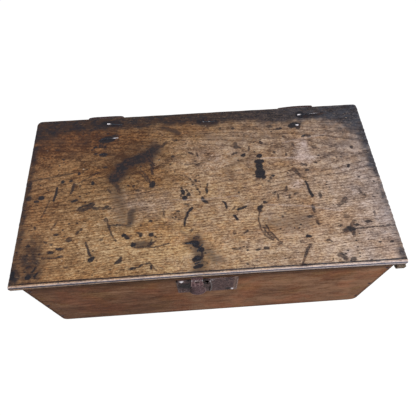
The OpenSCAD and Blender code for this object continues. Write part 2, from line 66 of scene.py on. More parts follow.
def value_noise(points, size, seed):
    """Smooth noise from 0 to 1 at points in mm. Its bumps are size mm across, which may differ by axis."""
    p = points / np.asarray(size, dtype=float) + seed * 7.31
    base = np.floor(p).astype(int)
    t = p - base
    t = t * t * (3 - 2 * t)
    out = np.zeros(len(p))
    for corner in np.ndindex(2, 2, 2):
        i, j, k = ((base + corner) % 32).T
        weight = np.prod(np.where(np.array(corner) == 1, t, 1 - t), axis=1)
        out += weight * TABLE[i, j, k]
    return out


def layered_noise(points, size, seed, layers=3):
    """Value noise with finer layers on it, each half as large and half as strong as the one before."""
    total, scale = np.zeros(len(points)), 0.0
    for n in range(layers):
        total += value_noise(points, np.asarray(size, dtype=float) / 2**n, seed + 3 * n) / 2**n
        scale += 1 / 2**n
    return total / scale


# ---------- node trees ----------


def srgb(r, g, b):
    """Linear colour of an 8-bit screen colour."""
    return tuple(
        c / 12.92 if c <= 0.04045 else ((c + 0.055) / 1.055) ** 2.4
        for c in (r / 255, g / 255, b / 255)
    ) + (1.0,)


class Net:
    """Adds nodes to a tree: each call returns the socket that the next call reads."""

    def __init__(self, tree):
        self.tree = tree

    def put(self, socket, value):
        if isinstance(value, bpy.types.NodeSocket):
            self.tree.links.new(value, socket)
        elif value is not None:
            socket.default_value = value

    def node(self, kind, inputs=(), **settings):
        node = self.tree.nodes.new(kind)
        for name, value in settings.items():
            setattr(node, name, value)
        for name, value in dict(inputs).items():
            self.put(node.inputs[name], value)
        return node

    def math(self, op, a, b=None, clamp=False):
        return self.node("ShaderNodeMath", {0: a, 1: b}, operation=op, use_clamp=clamp).outputs[0]

    def times(self, a, b, clamp=False):
        return self.math("MULTIPLY", a, b, clamp)

    def plus(self, a, b, clamp=False):
        return self.math("ADD", a, b, clamp)

    def minus(self, a, b, clamp=False):
        return self.math("SUBTRACT", a, b, clamp)

    def larger(self, a, b, clamp=False):
        return self.math("MAXIMUM", a, b, clamp)

    def vector(self, op, a, b):
        node = self.node("ShaderNodeVectorMath", {0: a, 1: b}, operation=op)
        return node.outputs["Value" if op == "DOT_PRODUCT" else "Vector"]

    def split(self, vector):
        return self.node("ShaderNodeSeparateXYZ", {"Vector": vector}).outputs[0:3]

    def join(self, x, y, z):
        return self.node("ShaderNodeCombineXYZ", {"X": x, "Y": y, "Z": z}).outputs[0]

    def ranged(self, value, low, high, to_low=0.0, to_high=1.0, kind="LINEAR"):
        """Runs from to_low at low to to_high at high, and stays there beyond both."""
        limits = {"Value": value, "From Min": low, "From Max": high, "To Min": to_low, "To Max": to_high}
        return self.node("ShaderNodeMapRange", limits, interpolation_type=kind).outputs["Result"]

    def step(self, value, low, high, to_low=0.0, to_high=1.0):
        """The same, easing in and out."""
        return self.ranged(value, low, high, to_low, to_high, "SMOOTHSTEP")

    def mix(self, amount, a, b, blend="MIX"):
        node = self.node("ShaderNodeMix", {0: amount, 6: a, 7: b}, data_type="RGBA", blend_type=blend)
        return node.outputs[2]

    def tint(self, amount, colour, factors):
        """Multiplies a colour by one factor each for red, green and blue."""
        return self.mix(amount, colour, (*factors, 1.0), "MULTIPLY")

    def noise(self, place, scale, detail=2.0, rough=0.5, distortion=0.0):
        """Cloudy noise, with one scale or one per axis."""
        if isinstance(scale, tuple):
            place, scale = self.vector("MULTIPLY", place, scale), 1.0
        look = {"Scale": scale, "Detail": detail, "Roughness": rough, "Distortion": distortion}
        return self.node("ShaderNodeTexNoise", {"Vector": place, **look}).outputs["Fac"]

    def roughen(self, value, noise, amount):
        """Adds a noise to a value, centred on its mean of a half."""
        return self.plus(value, self.times(self.minus(noise, 0.5), amount))

    def cells(self, place, scale=1.0):
        return self.node("ShaderNodeTexVoronoi", {"Vector": place, "Scale": scale}).outputs

    def attribute(self, name):
        return self.node("ShaderNodeAttribute", attribute_name=name).outputs["Fac"]

    def group(self, tree, **inputs):
        node = self.node("ShaderNodeGroup", node_tree=tree)
        for name, value in inputs.items():
            self.put(node.inputs[name.replace("_", " ")], value)
        return node.outputs

    def relief(self, skin, height, distance):
        """Bends a material's normal by a height. A height of 1 stands for distance in m."""
        bump = self.node("ShaderNodeBump", {"Height": height, "Strength": 0.6, "Distance": distance})
        self.put(skin.inputs["Normal"], bump.outputs[0])


def new_group(name, inputs, outputs):
    """Node group that takes a place in mm and more. Returns its tree, a Net, its inputs, an output setter."""
    tree = bpy.data.node_groups.new(name, "ShaderNodeTree")
    for socket, value in {"Place": (0.0, 0.0, 0.0), **inputs}.items():
        kind = "NodeSocketVector" if isinstance(value, tuple) else "NodeSocketFloat"
        tree.interface.new_socket(socket, in_out="INPUT", socket_type=kind).default_value = value
    for socket in outputs:
        tree.interface.new_socket(socket, in_out="OUTPUT", socket_type="NodeSocketFloat")
    net = Net(tree)
    ins = net.node("NodeGroupInput").outputs
    outs = net.node("NodeGroupOutput").inputs
    return tree, net, ins, lambda socket, value: net.put(outs[socket], value)


def empty_net(owner):
    """Clears the node tree of a material or world and returns a Net for it."""
    owner.use_nodes = True
    owner.node_tree.nodes.clear()
    return Net(owner.node_tree)


def new_material(name):
    """Material with an empty tree. Returns it, a Net and its Principled node, wired to the output."""
    material = bpy.data.materials.new(name)
    net = empty_net(material)
    skin = net.node("ShaderNodeBsdfPrincipled")
    net.node("ShaderNodeOutputMaterial", {"Surface": skin.outputs[0]})
    return material, net, skin


# ---------- shared effects ----------


def make_oak_grain():
    """Growth rings cut by a board's faces, with open pores in their early wood. X runs along the grain."""
    sizes = {"Pith Y": 0.0, "Pith Z": -60.0, "Taper": 0.05, "Ring Width": 3.4, "Warp": 9.0}
    tree, net, ins, out = new_group("oak_grain", sizes, ("Ring", "Tone", "Pores", "Streaks"))
    place = ins["Place"]
    warp = net.noise(place, (0.0055, 0.013, 0.013), 3.0, 0.45)
    warp = net.times(net.minus(warp, 0.5), ins["Warp"])
    jitter = net.noise(place, (0.03, 0.35, 0.35), 2.0)
    x, y, z = net.split(place)
    dy = net.plus(net.minus(y, ins["Pith Y"]), warp)
    dz = net.minus(z, ins["Pith Z"])
    radius = net.math("SQRT", net.plus(net.times(dy, dy), net.times(dz, dz)))
    radius = net.plus(radius, net.times(x, ins["Taper"]))
    radius = net.plus(radius, net.times(jitter, 1.4))
    count = net.math("DIVIDE", radius, ins["Ring Width"])
    ring = net.math("FRACT", count)
    number = net.math("FLOOR", count)
    tone = net.node("ShaderNodeTexWhiteNoise", {"W": number}, noise_dimensions="1D").outputs["Value"]
    early = net.step(ring, 0.05, 0.75, 1.0, 0.0)
    pores = net.noise(place, (0.16, 1.25, 1.25), 2.0, 0.6)
    edge = net.ranged(early, 0.0, 1.0, 0.66, 0.535)
    pores = net.step(net.minus(pores, edge), 0.0, 0.07)
    streaks = net.noise(place, (0.012, 0.5, 0.5), 4.0, 0.65)
    out("Ring", ring)
    out("Tone", tone)
    out("Pores", pores)
    out("Streaks", streaks)
    return tree


def make_specks():
    """Small dark specks and short nicks of random size, broken up at their edges."""
    sizes = {"Spacing": 12.0, "Size": 1.2, "Share": 0.5, "Stretch": 1.0}
    tree, net, ins, out = new_group("specks", sizes, ("Mask",))
    x, y, z = net.split(ins["Place"])
    flat = net.join(net.math("DIVIDE", x, ins["Stretch"]), y, z)
    bend = net.noise(ins["Place"], 0.35, 1.0)
    flat = net.vector("ADD", flat, net.join(net.times(bend, 2.2), net.times(bend, -1.4), 0.0))
    flat = net.vector("DIVIDE", flat, net.join(ins["Spacing"], ins["Spacing"], ins["Spacing"]))
    cell = net.cells(flat)
    distance = net.times(cell["Distance"], ins["Spacing"])
    luck = net.split(cell["Color"])
    size = net.times(net.math("POWER", luck[1], 1.5), ins["Size"])
    there = net.math("LESS_THAN", luck[0], ins["Share"])
    mask = net.step(net.minus(distance, size), -0.35, 0.15, 1.0, 0.0)
    out("Mask", net.times(mask, there))
    return tree


def make_edge_rub():
    """Where edges and high spots are rubbed: 1 on a worn arris, 0 on a flat face."""
    tree, net, ins, out = new_group("edge_rub", {"Radius": 0.0012, "Patchiness": 0.5}, ("Rub",))
    rounded = net.node("ShaderNodeBevel", {"Radius": ins["Radius"]}, samples=4).outputs[0]
    flat = net.node("ShaderNodeNewGeometry").outputs["Normal"]
    turn = net.minus(1.0, net.vector("DOT_PRODUCT", rounded, flat))
    rub = net.step(turn, 0.01, 0.16)
    patch = net.noise(ins["Place"], 0.09, 4.0, 0.65)
    patch = net.step(patch, 0.36, 0.62)
    keep = net.minus(1.0, net.times(ins["Patchiness"], net.minus(1.0, patch)))
    out("Rub", net.times(rub, keep))
    return tree


def make_forged():
    """Hammer marks, scale and rust of forged iron."""
    tree, net, ins, out = new_group("forged", {"Size": 1.0}, ("Hammer", "Scale", "Rust", "Pits"))
    place = net.vector("DIVIDE", ins["Place"], net.join(ins["Size"], ins["Size"], ins["Size"]))
    out("Hammer", net.noise(place, 0.11, 2.0, 0.45))
    out("Scale", net.noise(place, 0.55, 5.0, 0.65))
    out("Rust", net.noise(place, 0.16, 6.0, 0.7, 0.6))
    pits = net.cells(place, 0.9)["Distance"]
    out("Pits", net.step(pits, 0.05, 0.32, 1.0, 0.0))
    return tree


oak_grain = make_oak_grain()
specks = make_specks()
edge_rub = make_edge_rub()
forged = make_forged()


def place_mm(net, turned=False):
    """Position on the resting box in mm, turned a quarter where the grain runs front to back."""
    place = net.node("ShaderNodeTexCoord").outputs["Object"]
    place = net.vector("MULTIPLY", place, (1000.0, 1000.0, 1000.0))
    if turned:
        x, y, z = net.split(place)
        place = net.join(y, x, z)
    return place


def speck_mask(net, place, spacing, size, share, stretch):
    """Specks up to size mm large in a share of the cells of a grid, drawn out along the grain."""
    return net.group(specks, Place=place, Spacing=spacing, Size=size, Share=share, Stretch=stretch)["Mask"]


# ---------- oak ----------

INK_BLACK = srgb(26, 25, 31)
DIRT_BROWN = srgb(54, 39, 34)
DIRT_BLUE = srgb(54, 56, 64)
# dark, middle and light tones, as 8-bit screen colours
BROWN = ((66, 43, 28), (142, 109, 75), (204, 172, 130))
GREY = ((58, 48, 48), (132, 115, 107), (194, 176, 168))
WAXED = ((58, 30, 18), (97, 63, 42), (142, 104, 78))
DARK = ((44, 28, 22), (82, 57, 42), (118, 88, 66))
WORN_END = ((32, 26, 25), (86, 75, 70), (138, 126, 122))
DARK_END = ((16, 12, 12), (40, 29, 25), (80, 62, 52))


def three_tones(net, value, tones):
    """Runs from the dark over the middle to the light tone as the value goes from 0 to 1."""
    dark, middle, light = (srgb(*tone) for tone in tones)
    colour = net.mix(net.ranged(value, 0.0, 0.5), dark, middle)
    return net.mix(net.ranged(value, 0.5, 1.0), colour, light)


def wood_lines(net, grain):
    """How dark the early wood of each ring is drawn, broken up along the grain."""
    line = net.step(grain["Ring"], 0.0, 0.40, 1.0, 0.0)
    line = net.times(line, net.ranged(grain["Tone"], 0.0, 1.0, 0.3, 1.0))
    return net.times(line, net.step(grain["Streaks"], 0.36, 0.60, 0.15, 1.0))


def wood_value(net, value, grain, noises, lines, pores):
    """Adds noises, each with its amount, and darkens the early wood and the pores."""
    for noise, amount in noises:
        value = net.roughen(value, noise, amount)
    value = net.minus(value, net.times(wood_lines(net, grain), lines))
    return net.minus(value, net.times(grain["Pores"], pores))


def wood_surface(net, skin, grain, fine, dots, dull):
    """Waxed sheen, duller in pores and dirt, and the relief of pores, rings and pits."""
    shine = net.ranged(fine, 0.2, 0.8, 0.44, 0.62)
    shine = net.plus(shine, net.times(grain["Pores"], 0.2))
    shine = net.plus(shine, net.times(dull, 0.2), clamp=True)
    net.put(skin.inputs["Roughness"], shine)
    height = net.times(grain["Pores"], -1.0)
    height = net.plus(height, net.times(grain["Ring"], 0.4))
    height = net.plus(height, net.times(fine, 0.8))
    height = net.minus(height, net.times(dots, 0.9))
    net.relief(skin, height, 0.0005)


def lid_oak():
    """The lid's oak. Its mesh carries how worn, red, grey, dirty, stained, inked, pale and rubbed each point
    is; the pale patches carry painted sheen, the rubbed bead crowns painted highlights.
    """
    material, net, skin = new_material("oak_lid")
    place = place_mm(net)
    rings = {"Pith_Y": 60.0, "Pith_Z": 120.0, "Taper": 0.05, "Ring_Width": 4.0, "Warp": 36.0}
    grain = net.group(oak_grain, Place=place, **rings)
    broad = net.noise(place, (0.010, 0.018, 0.018), 3.0, 0.5)
    patchy = net.noise(place, (0.05, 0.09, 0.09), 3.0, 0.6)
    fine = net.noise(place, (0.26, 0.50, 0.50), 4.0, 0.75)

    noises = ((broad, 0.6), (patchy, 1.0), (fine, 2.1), (grain["Streaks"], 0.4))
    value = net.larger(wood_value(net, net.attribute("wear"), grain, noises, 0.40, 0.5), -0.2)
    grey = net.roughen(net.attribute("grey"), net.noise(place, 0.05, 4.0, 0.6), 0.9)
    grey = net.times(grey, 1.0, clamp=True)
    ground = net.mix(grey, three_tones(net, value, BROWN), three_tones(net, value, GREY))
    ground = net.tint(net.attribute("red"), ground, (1.0, 0.78, 0.66))
    warm = net.noise(place, (0.11, 0.21, 0.21), 3.0, 0.7)
    warmth = net.step(warm, 0.48, 0.66, 0.0, 0.8)
    warmth = net.times(warmth, net.ranged(net.attribute("grey"), 0.1, 0.8, 1.0, 0.3))
    ground = net.tint(warmth, ground, (1.10, 0.95, 0.80))
    cool = net.noise(place, (0.009, 0.017, 0.017), 4.0, 0.6)
    ground = net.tint(net.step(cool, 0.50, 0.66, 0.0, 0.8), ground, (0.92, 0.96, 1.04))
    ground = net.tint(net.step(cool, 0.34, 0.48, 0.8, 0.0), ground, (1.06, 0.96, 0.84))

    dirt_noise = net.noise(place, 0.06, 5.0, 0.7)
    grime = net.roughen(net.attribute("grime"), dirt_noise, 1.6)
    grime = net.roughen(grime, fine, 1.1)
    grime = net.times(net.step(grime, 0.15, 0.95), net.step(fine, 0.46, 0.66, 0.97, 0.76))
    dirt = net.mix(net.step(net.attribute("grey"), 0.15, 0.7), DIRT_BROWN, DIRT_BLUE)
    black_dirt = net.step(net.noise(place, (0.05, 0.10, 0.10), 4.0, 0.7), 0.41, 0.59)
    dirt = net.mix(black_dirt, dirt, srgb(31, 30, 36))
    # a dark blue tone in the quirk
    dirt = net.mix(net.step(net.attribute("grey"), 0.95, 1.4), dirt, srgb(62, 72, 94))
    ground = net.mix(grime, ground, dirt)

    stain = net.roughen(net.attribute("stain"), fine, 1.5)
    stain = net.roughen(stain, patchy, 0.7)
    ground = net.mix(net.times(net.step(stain, 0.15, 0.9), 0.85), ground, srgb(50, 40, 38))

    # pale rubbed wear and painted sheen, nearly white
    pale_and_sheen = net.roughen(net.attribute("pale_and_sheen"), fine, 2.0)
    pale_and_sheen = net.roughen(pale_and_sheen, patchy, 1.2)
    ground = net.mix(net.times(net.step(pale_and_sheen, 0.3, 1.4), 0.7), ground, srgb(204, 184, 180))

    # specks gather in clusters
    clusters = net.step(net.noise(place, 0.026, 3.0), 0.42, 0.58, 0.1, 1.0)
    small = speck_mask(net, place, 6.0, 2.1, 0.62, 1.3)
    large = speck_mask(net, place, 17.0, 3.2, 0.6, 1.8)
    dots = net.larger(net.times(small, clusters), large)
    ground = net.mix(net.times(dots, 0.85), ground, INK_BLACK)
    flecks = speck_mask(net, net.vector("ADD", place, (31.0, 17.0, 3.0)), 13.0, 1.3, 0.5, 1.5)
    ground = net.mix(net.times(net.times(flecks, clusters), 0.5), ground, srgb(208, 186, 164))

    ink = net.roughen(net.attribute("ink"), net.noise(place, 0.50, 3.0, 0.7), 0.44)
    ink = net.times(net.step(ink, 0.40, 0.56), net.math("POWER", net.attribute("ink_tone"), 0.45))
    blots = net.step(net.noise(place, 0.15, 5.0, 0.75), 0.36, 0.54)
    blots = net.larger(blots, net.step(net.attribute("ink_tone"), 0.78, 0.90))
    ink = net.times(ink, net.ranged(blots, 0.0, 1.0, 0.82, 1.0))
    thin = net.step(net.noise(place, (0.35, 0.9, 0.9), 3.0, 0.7), 0.32, 0.50, 0.78, 1.0)
    ground = net.mix(net.times(ink, thin), ground, net.mix(blots, srgb(72, 48, 38), INK_BLACK))

    # rubbed wear: bare scratches, worn ends, and the bead crowns, where it is also a painted highlight, near
    # white
    rubbed = net.times(net.attribute("rub"), net.step(fine, 0.34, 0.54, 0.55, 1.0))
    rubbed = net.times(rubbed, net.step(net.noise(place, 0.12, 3.0, 0.7), 0.36, 0.56, 0.66, 1.0))
    ground = net.mix(rubbed, ground, srgb(206, 188, 184))
    net.put(skin.inputs["Base Color"], ground)
    skin.inputs["Specular IOR Level"].default_value = 0.14
    wood_surface(net, skin, grain, fine, dots, grime)
    return material


def plain_oak(name, tones, pith, turned=False, grime=0.5, low=0.5, high=0.6, rim_and_lid_shadow=0.0):
    """Oak of the box's sides, reddened by old wax. Its tone runs from low to high along the grain. One amount
    darkens a rim along the ends and foot and paints the lid's shadow along the top.
    """
    material, net, skin = new_material(name)
    place = place_mm(net, turned)
    grain = net.group(oak_grain, Place=place, Pith_Y=pith[0], Pith_Z=pith[1], Taper=0.05, Ring_Width=4.4)
    broad = net.noise(place, (0.008, 0.02, 0.02), 4.0, 0.55)
    patchy = net.noise(place, (0.03, 0.09, 0.09), 4.0, 0.6)
    fine = net.noise(place, (0.34, 0.55, 0.55), 4.0, 0.72)
    value = net.ranged(net.split(place)[0], -LID_HALF, LID_HALF, low, high)
    value = wood_value(net, value, grain, ((broad, 1.1), (patchy, 1.0), (fine, 1.3)), 0.2, 0.3)
    ground = three_tones(net, value, tones)
    red = net.step(net.noise(net.vector("ADD", place, (90.0, 40.0, 20.0)), 0.011, 3.0, 0.6), 0.50, 0.62)
    ground = net.tint(net.times(red, 0.8), ground, (1.10, 0.86, 0.76))
    olive = net.step(net.noise(net.vector("ADD", place, (20.0, 140.0, 70.0)), 0.011, 3.0, 0.6), 0.52, 0.64)
    ground = net.tint(net.times(olive, 0.8), ground, (1.0, 1.02, 0.78))
    dirt = net.times(net.step(net.noise(place, 0.045, 6.0, 0.68), 0.45, 0.78), grime)
    if rim_and_lid_shadow:
        across, _, up = net.split(place)
        gap = net.math("MINIMUM", net.minus(BODY_HALF, net.math("ABSOLUTE", across)), up)
        rim = net.roughen(net.ranged(gap, 1.0, 9.0, 0.9, 0.0), fine, 0.5)
        # painted shadow of the lid: a dark band along the top of the board under the lid's edge
        lid_shadow = net.roughen(net.ranged(up, LID_LOW - 17.0, LID_LOW - 1.0, 0.0, 0.9), patchy, 0.8)
        rim = net.times(rim, net.ranged(gap, 0.0, 14.0, 1.0, 0.0))
        rim = net.larger(rim, net.times(lid_shadow, net.ranged(up, LID_LOW - 21.0, LID_LOW - 9.0)))
        dirt = net.larger(dirt, net.times(rim, rim_and_lid_shadow), clamp=True)
    # dirt brown over the dirt, and on the front also over the darker rim and the lid's painted shadow
    ground = net.mix(dirt, ground, DIRT_BROWN)
    dots = speck_mask(net, place, 16.0, 1.8, 0.3, 1.6)
    ground = net.mix(net.times(dots, 0.5), ground, INK_BLACK)
    knocks = speck_mask(net, net.vector("ADD", place, (37.0, 11.0, 5.0)), 34.0, 2.2, 0.35, 1.3)
    ground = net.mix(net.times(knocks, 0.6), ground, srgb(190, 160, 136))
    rubbed = net.times(net.group(edge_rub, Place=place)["Rub"], 0.5)
    ground = net.mix(rubbed, ground, srgb(160, 126, 100))
    net.put(skin.inputs["Base Color"], ground)
    skin.inputs["Specular IOR Level"].default_value = 0.02
    wood_surface(net, skin, grain, fine, dots, dirt)
    return material


oak_lid = lid_oak()
# the front runs from darker at the left to lighter at the right: a painted gradient of light from the right
oak_front = plain_oak("oak_front", WAXED, (-260.0, 120.0), grime=0.3, low=0.46, high=0.9, rim_and_lid_shadow=0.8)
oak_dark = plain_oak("oak_dark", DARK, (260.0, 90.0), grime=0.7)
oak_side = plain_oak("oak_side", DARK, (240.0, 120.0), turned=True, grime=0.7)
oak_pale_end = plain_oak("oak_worn_cleat", WORN_END, (250.0, 140.0), turned=True, grime=0.6)
oak_dark_end = plain_oak("oak_cleat", DARK_END, (250.0, 140.0), turned=True, grime=0.8)


# ---------- iron ----------


def iron_material(name, deep, face, bright, metal, rust_share=0.5, rub=0.6, pale_end=None):
    """Forged iron, from its deep over its plain to its bright tone, as 8-bit screen colours.

    Pale_end is where along the front, in mm, a tan band starts and where it is full.
    """
    material, net, skin = new_material(name)
    place = place_mm(net)
    forge = net.group(forged, Place=place)
    colour = net.mix(net.step(forge["Scale"], 0.40, 0.60), srgb(*deep), srgb(*face))
    rust = net.times(net.step(forge["Rust"], 0.52, 0.74), rust_share)
    colour = net.mix(rust, colour, srgb(112, 74, 54))
    if pale_end:
        band = net.roughen(net.step(net.split(place)[0], pale_end[0], pale_end[1]), forge["Scale"], 1.6)
        colour = net.mix(net.times(band, 0.85, clamp=True), colour, srgb(122, 98, 88))
    colour = net.mix(net.times(forge["Pits"], 0.35), colour, srgb(28, 24, 25))
    rubbed = net.group(edge_rub, Place=place, Radius=0.0008, Patchiness=0.6)["Rub"]
    rubbed = net.times(rubbed, rub)
    colour = net.mix(rubbed, colour, srgb(*bright))
    # rubbed polish and painted highlights, near white
    polish_and_highlight = net.roughen(net.attribute("polish_and_highlight"), forge["Scale"], 0.5)
    colour = net.mix(net.step(polish_and_highlight, 0.2, 0.75), colour, srgb(222, 216, 220))
    # painted shadow, near black
    painted_shadow = net.roughen(net.attribute("painted_shadow"), forge["Scale"], 0.4)
    colour = net.mix(net.times(net.step(painted_shadow, 0.1, 0.8), 0.92), colour, srgb(16, 10, 14))
    net.put(skin.inputs["Base Color"], colour)
    skin.inputs["Specular IOR Level"].default_value = 0.03
    dull = net.times(net.plus(rust, net.times(forge["Pits"], 0.3)), 0.8, clamp=True)
    net.put(skin.inputs["Metallic"], net.times(net.minus(1.0, dull), metal))
    rough = net.ranged(forge["Scale"], 0.3, 0.7, 0.62, 0.42)
    rough = net.plus(rough, net.times(rust, 0.3))
    rough = net.minus(rough, net.times(rubbed, 0.2), clamp=True)
    net.put(skin.inputs["Roughness"], rough)
    height = net.times(forge["Hammer"], 2.2)
    height = net.plus(height, net.times(forge["Scale"], 0.5))
    height = net.minus(height, net.times(forge["Pits"], 0.5))
    net.relief(skin, height, 0.0004)
    return material


iron = iron_material("iron", (30, 21, 23), (76, 58, 60), (166, 146, 144), 0.08)
iron_plate = iron_material(
    "iron_plate", (32, 20, 24), (100, 75, 74), (176, 156, 152), 0.08, rub=0.8, pale_end=(38.0, 42.0)
)
# a lighter iron for the hasp; on the strap under the lid's edge this lightness is painted light where the lid
# shades it
iron_hasp_lightened = iron_material("iron_hasp_lightened", (62, 46, 48), (112, 88, 90), (206, 176, 170), 0.1, 0.25, 0.8)
iron_worn = iron_material("iron_worn", (58, 47, 48), (110, 96, 94), (214, 204, 198), 0.5, 0.4, 0.9)
iron_stained = iron_material("iron_stained", (24, 26, 33), (60, 62, 70), (150, 152, 158), 0.1, 0.2, 0.35)


# ---------- meshes ----------


def add_object(name, data):
    obj = bpy.data.objects.new(name, data)
    bpy.context.scene.collection.objects.link(obj)
    return obj


def new_object(name, vertices, faces):
    mesh = bpy.data.meshes.new(name)
    mesh.from_pydata(vertices, [], faces)
    mesh.update()
    return add_object(name, mesh)


def add_attribute(mesh, name, values):
    """Gives each point of a mesh a number that its material reads."""
    mesh.attributes.new(name, "FLOAT", "POINT").data.foreach_set("value", values.astype(np.float32))


def finish_mesh(obj, material, body, node, angle=35):
    """Smooths the shading, sets the finish, and lets the piece stand for its CAD node."""
    mesh = obj.data
    mesh.materials.clear()
    mesh.materials.append(material)
    mesh.shade_smooth()
    mesh.set_sharp_from_angle(angle=math.radians(angle))
    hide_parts(node)
    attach(obj, body)


def body_of_node(node):
    for body, nodes in frame["record"]["behaviour"]["bodies"].items():
        if node in nodes:
            return body
    return None


FOOT_RADII = ((-1, 9.0), (1, 15.0))  # mm, at the left and the right lower front corner
FOOT_RADIUS_BEHIND = 3.0             # mm


def worn_foot(points):
    """Rounds off the box's two lower ends, most of all at the front, the right one more than the left."""
    forward = np.clip((-145 - points[:, 1]) / 20, 0, 1)
    for side, most in FOOT_RADII:
        radius = FOOT_RADIUS_BEHIND + (most - FOOT_RADIUS_BEHIND) * forward
        across = (side * points[:, 0] - (BODY_HALF - radius)) / radius
        down = (radius - points[:, 2]) / radius
        reach = np.hypot(across, down)
        outside = (across > 0) & (down > 0) & (reach > 1)
        scale = np.where(outside, 1 / np.maximum(reach, 1e-6), 1.0)
        points[:, 0] = np.where(outside, side * (BODY_HALF - radius + across * scale * radius), points[:, 0])
        points[:, 2] = np.where(outside, radius - down * scale * radius, points[:, 2])


BARREL_RADIUS = 5.2  # mm, just outside the hinges' barrels


def worn_barrel(side):
    """Tapers a hinge's barrel, pin and bores alike, towards its ends."""
    low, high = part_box(side + "_hinge_pin")
    middle, half = (low[0] + high[0]) / 2 / MM, (high[0] - low[0]) / 2 / MM
    axis_y, axis_z = (low[1] + high[1]) / 2 / MM, (low[2] + high[2]) / 2 / MM
    # where along the barrel it is thickest, how much it tapers and how late
    ahead, fall, power = (0.0, 0.45, 6) if side == "left" else (0.3, 0.55, 2)

    def shape(points):
        dy, dz = points[:, 1] - axis_y, points[:, 2] - axis_z
        along = np.clip(((points[:, 0] - middle) / half - ahead) / (1 + ahead), -1, 1)
        scale = np.where(np.hypot(dy, dz) < BARREL_RADIUS, 1 - fall * np.abs(along) ** power, 1.0)
        points[:, 1] = axis_y + dy * scale
        points[:, 2] = axis_z + dz * scale

    return shape


MERGE_DISTANCE = 2e-6  # m
FLAT_ANGLE = math.radians(0.6)
SHARP_ANGLE = math.radians(38)


def worked(node, material, cell, arris, dent, dent_size, seed, shape=None):
    """The node's own solid with its arrises eased, cut into cells and dented inwards by hand tools and wear.

    Cells, arris, dent and dent_size are in mm. A cell size of 0 leaves its axis uncut.
    """
    bm = bmesh.new()
    bm.from_mesh(frame["nodes"][node].data)
    bmesh.ops.remove_doubles(bm, verts=bm.verts, dist=MERGE_DISTANCE)
    bmesh.ops.dissolve_limit(bm, angle_limit=FLAT_ANGLE, verts=bm.verts, edges=bm.edges)
    sharp = [e for e in bm.edges if len(e.link_faces) == 2 and e.calc_face_angle(0.0) > SHARP_ANGLE]
    if arris:
        bmesh.ops.bevel(
            bm,
            geom=sharp,
            offset=arris * MM,
            offset_type="OFFSET",
            segments=2,
            profile=0.6,
            affect="EDGES",
            clamp_overlap=True,
        )
    low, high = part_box(node)
    for axis in range(3):
        step = cell[axis] * MM
        if not step or high[axis] - low[axis] < 1.5 * step:
            continue
        count = max(1, round((high[axis] - low[axis]) / step))
        normal = [0.0, 0.0, 0.0]
        normal[axis] = 1.0
        for i in range(1, count):
            at = [0.0, 0.0, 0.0]
            at[axis] = low[axis] + (high[axis] - low[axis]) * i / count
            geometry = bm.verts[:] + bm.edges[:] + bm.faces[:]
            bmesh.ops.bisect_plane(bm, geom=geometry, dist=1e-7, plane_co=at, plane_no=normal)
    bmesh.ops.triangulate(bm, faces=bm.faces[:])
    points = np.array([v.co for v in bm.verts]) / MM
    if shape:
        shape(points)
        for v, point in zip(bm.verts, points):
            v.co = Vector(point * MM)
    bm.normal_update()
    depth = layered_noise(points, dent_size, seed) * dent
    for v, d in zip(bm.verts, depth):
        v.co -= v.normal * float(d) * MM
    mesh = bpy.data.meshes.new(node + "_worn")
    bm.to_mesh(mesh)
    bm.free()
    # spots of rubbed polish with painted highlights, and painted shadows, each fading from its middle
    for name, spots in (("polish_and_highlight", POLISH_AND_HIGHLIGHTS), ("painted_shadow", PAINTED_SHADOWS)):
        value = np.zeros(len(points))
        for cx, cy, cz, radius, strength in spots:
            distance = np.linalg.norm(points - (cx, cy, cz), axis=1)
            value = np.maximum(value, strength * np.exp(-((distance / radius) ** 2)))
        if value.max() > 0.02:
            add_attribute(mesh, name, value)
    obj = add_object(node + "_worn", mesh)
    finish_mesh(obj, material, body_of_node(node), node)


# ---------- marks on the ironwork ----------
# x, y, z and radius in mm, strength

# rubbed polish and painted highlights: near-white glints on nail heads, the hasp's knuckles, its lobe and the
# key guard, and painted light on the hasp where the lid shades it
POLISH_AND_HIGHLIGHTS = [
    (-186, 157, 223.5, 7, 0.9), (-167, 120, 223.5, 8, 0.8), (203, 153, 223.5, 6, 0.9),
    (236, 153, 223.5, 16, 0.4), (197, 126, 223.5, 5, 0.8), (6, 151, 223.5, 6, 0.45),
    (20, 150, 223.5, 5, 0.4), (-50, -180, 200.5, 5, 1.0), (38, -180, 146, 5, 0.8), (-50, -180, 146, 5, 0.35),
    (-32, -180.5, 209, 3, 0.5), (-27, -180.5, 209, 3, 0.4), (-23, -180.5, 209, 3, 0.35),
    (-19, -180.5, 209, 3, 0.4), (-14, -180.5, 209, 3, 0.5), (-23, -187, 200, 11, 0.22),
    (-12, -184, 170, 6, 0.35), (2, -181, 200, 7, 0.5), (5, -181, 180, 9, 0.25),
]
# painted shadows on the lock plate: the hasp's cast shadow left of it, and shade by the keyhole and the nails
PAINTED_SHADOWS = [
    (-43, -178, 177, 17, 1.0), (-34, -178, 168, 13, 0.9), (-60, -178, 203, 6, 0.9), (-38, -178, 204, 7, 0.8),
    (-59, -178, 176, 5, 0.6), (-11, -178, 202, 7, 0.9), (-12, -178, 186, 8, 0.8), (-4, -178, 160, 8, 0.6),
    (31, -178, 148, 6, 1.0), (30, -178, 203, 8, 0.5), (47, -178, 203, 5, 0.6), (14, -178, 196, 9, 0.3),
]

# ---------- marks on the lid ----------
# Millimetres from the middle of the lid: x to the right, y to the back.

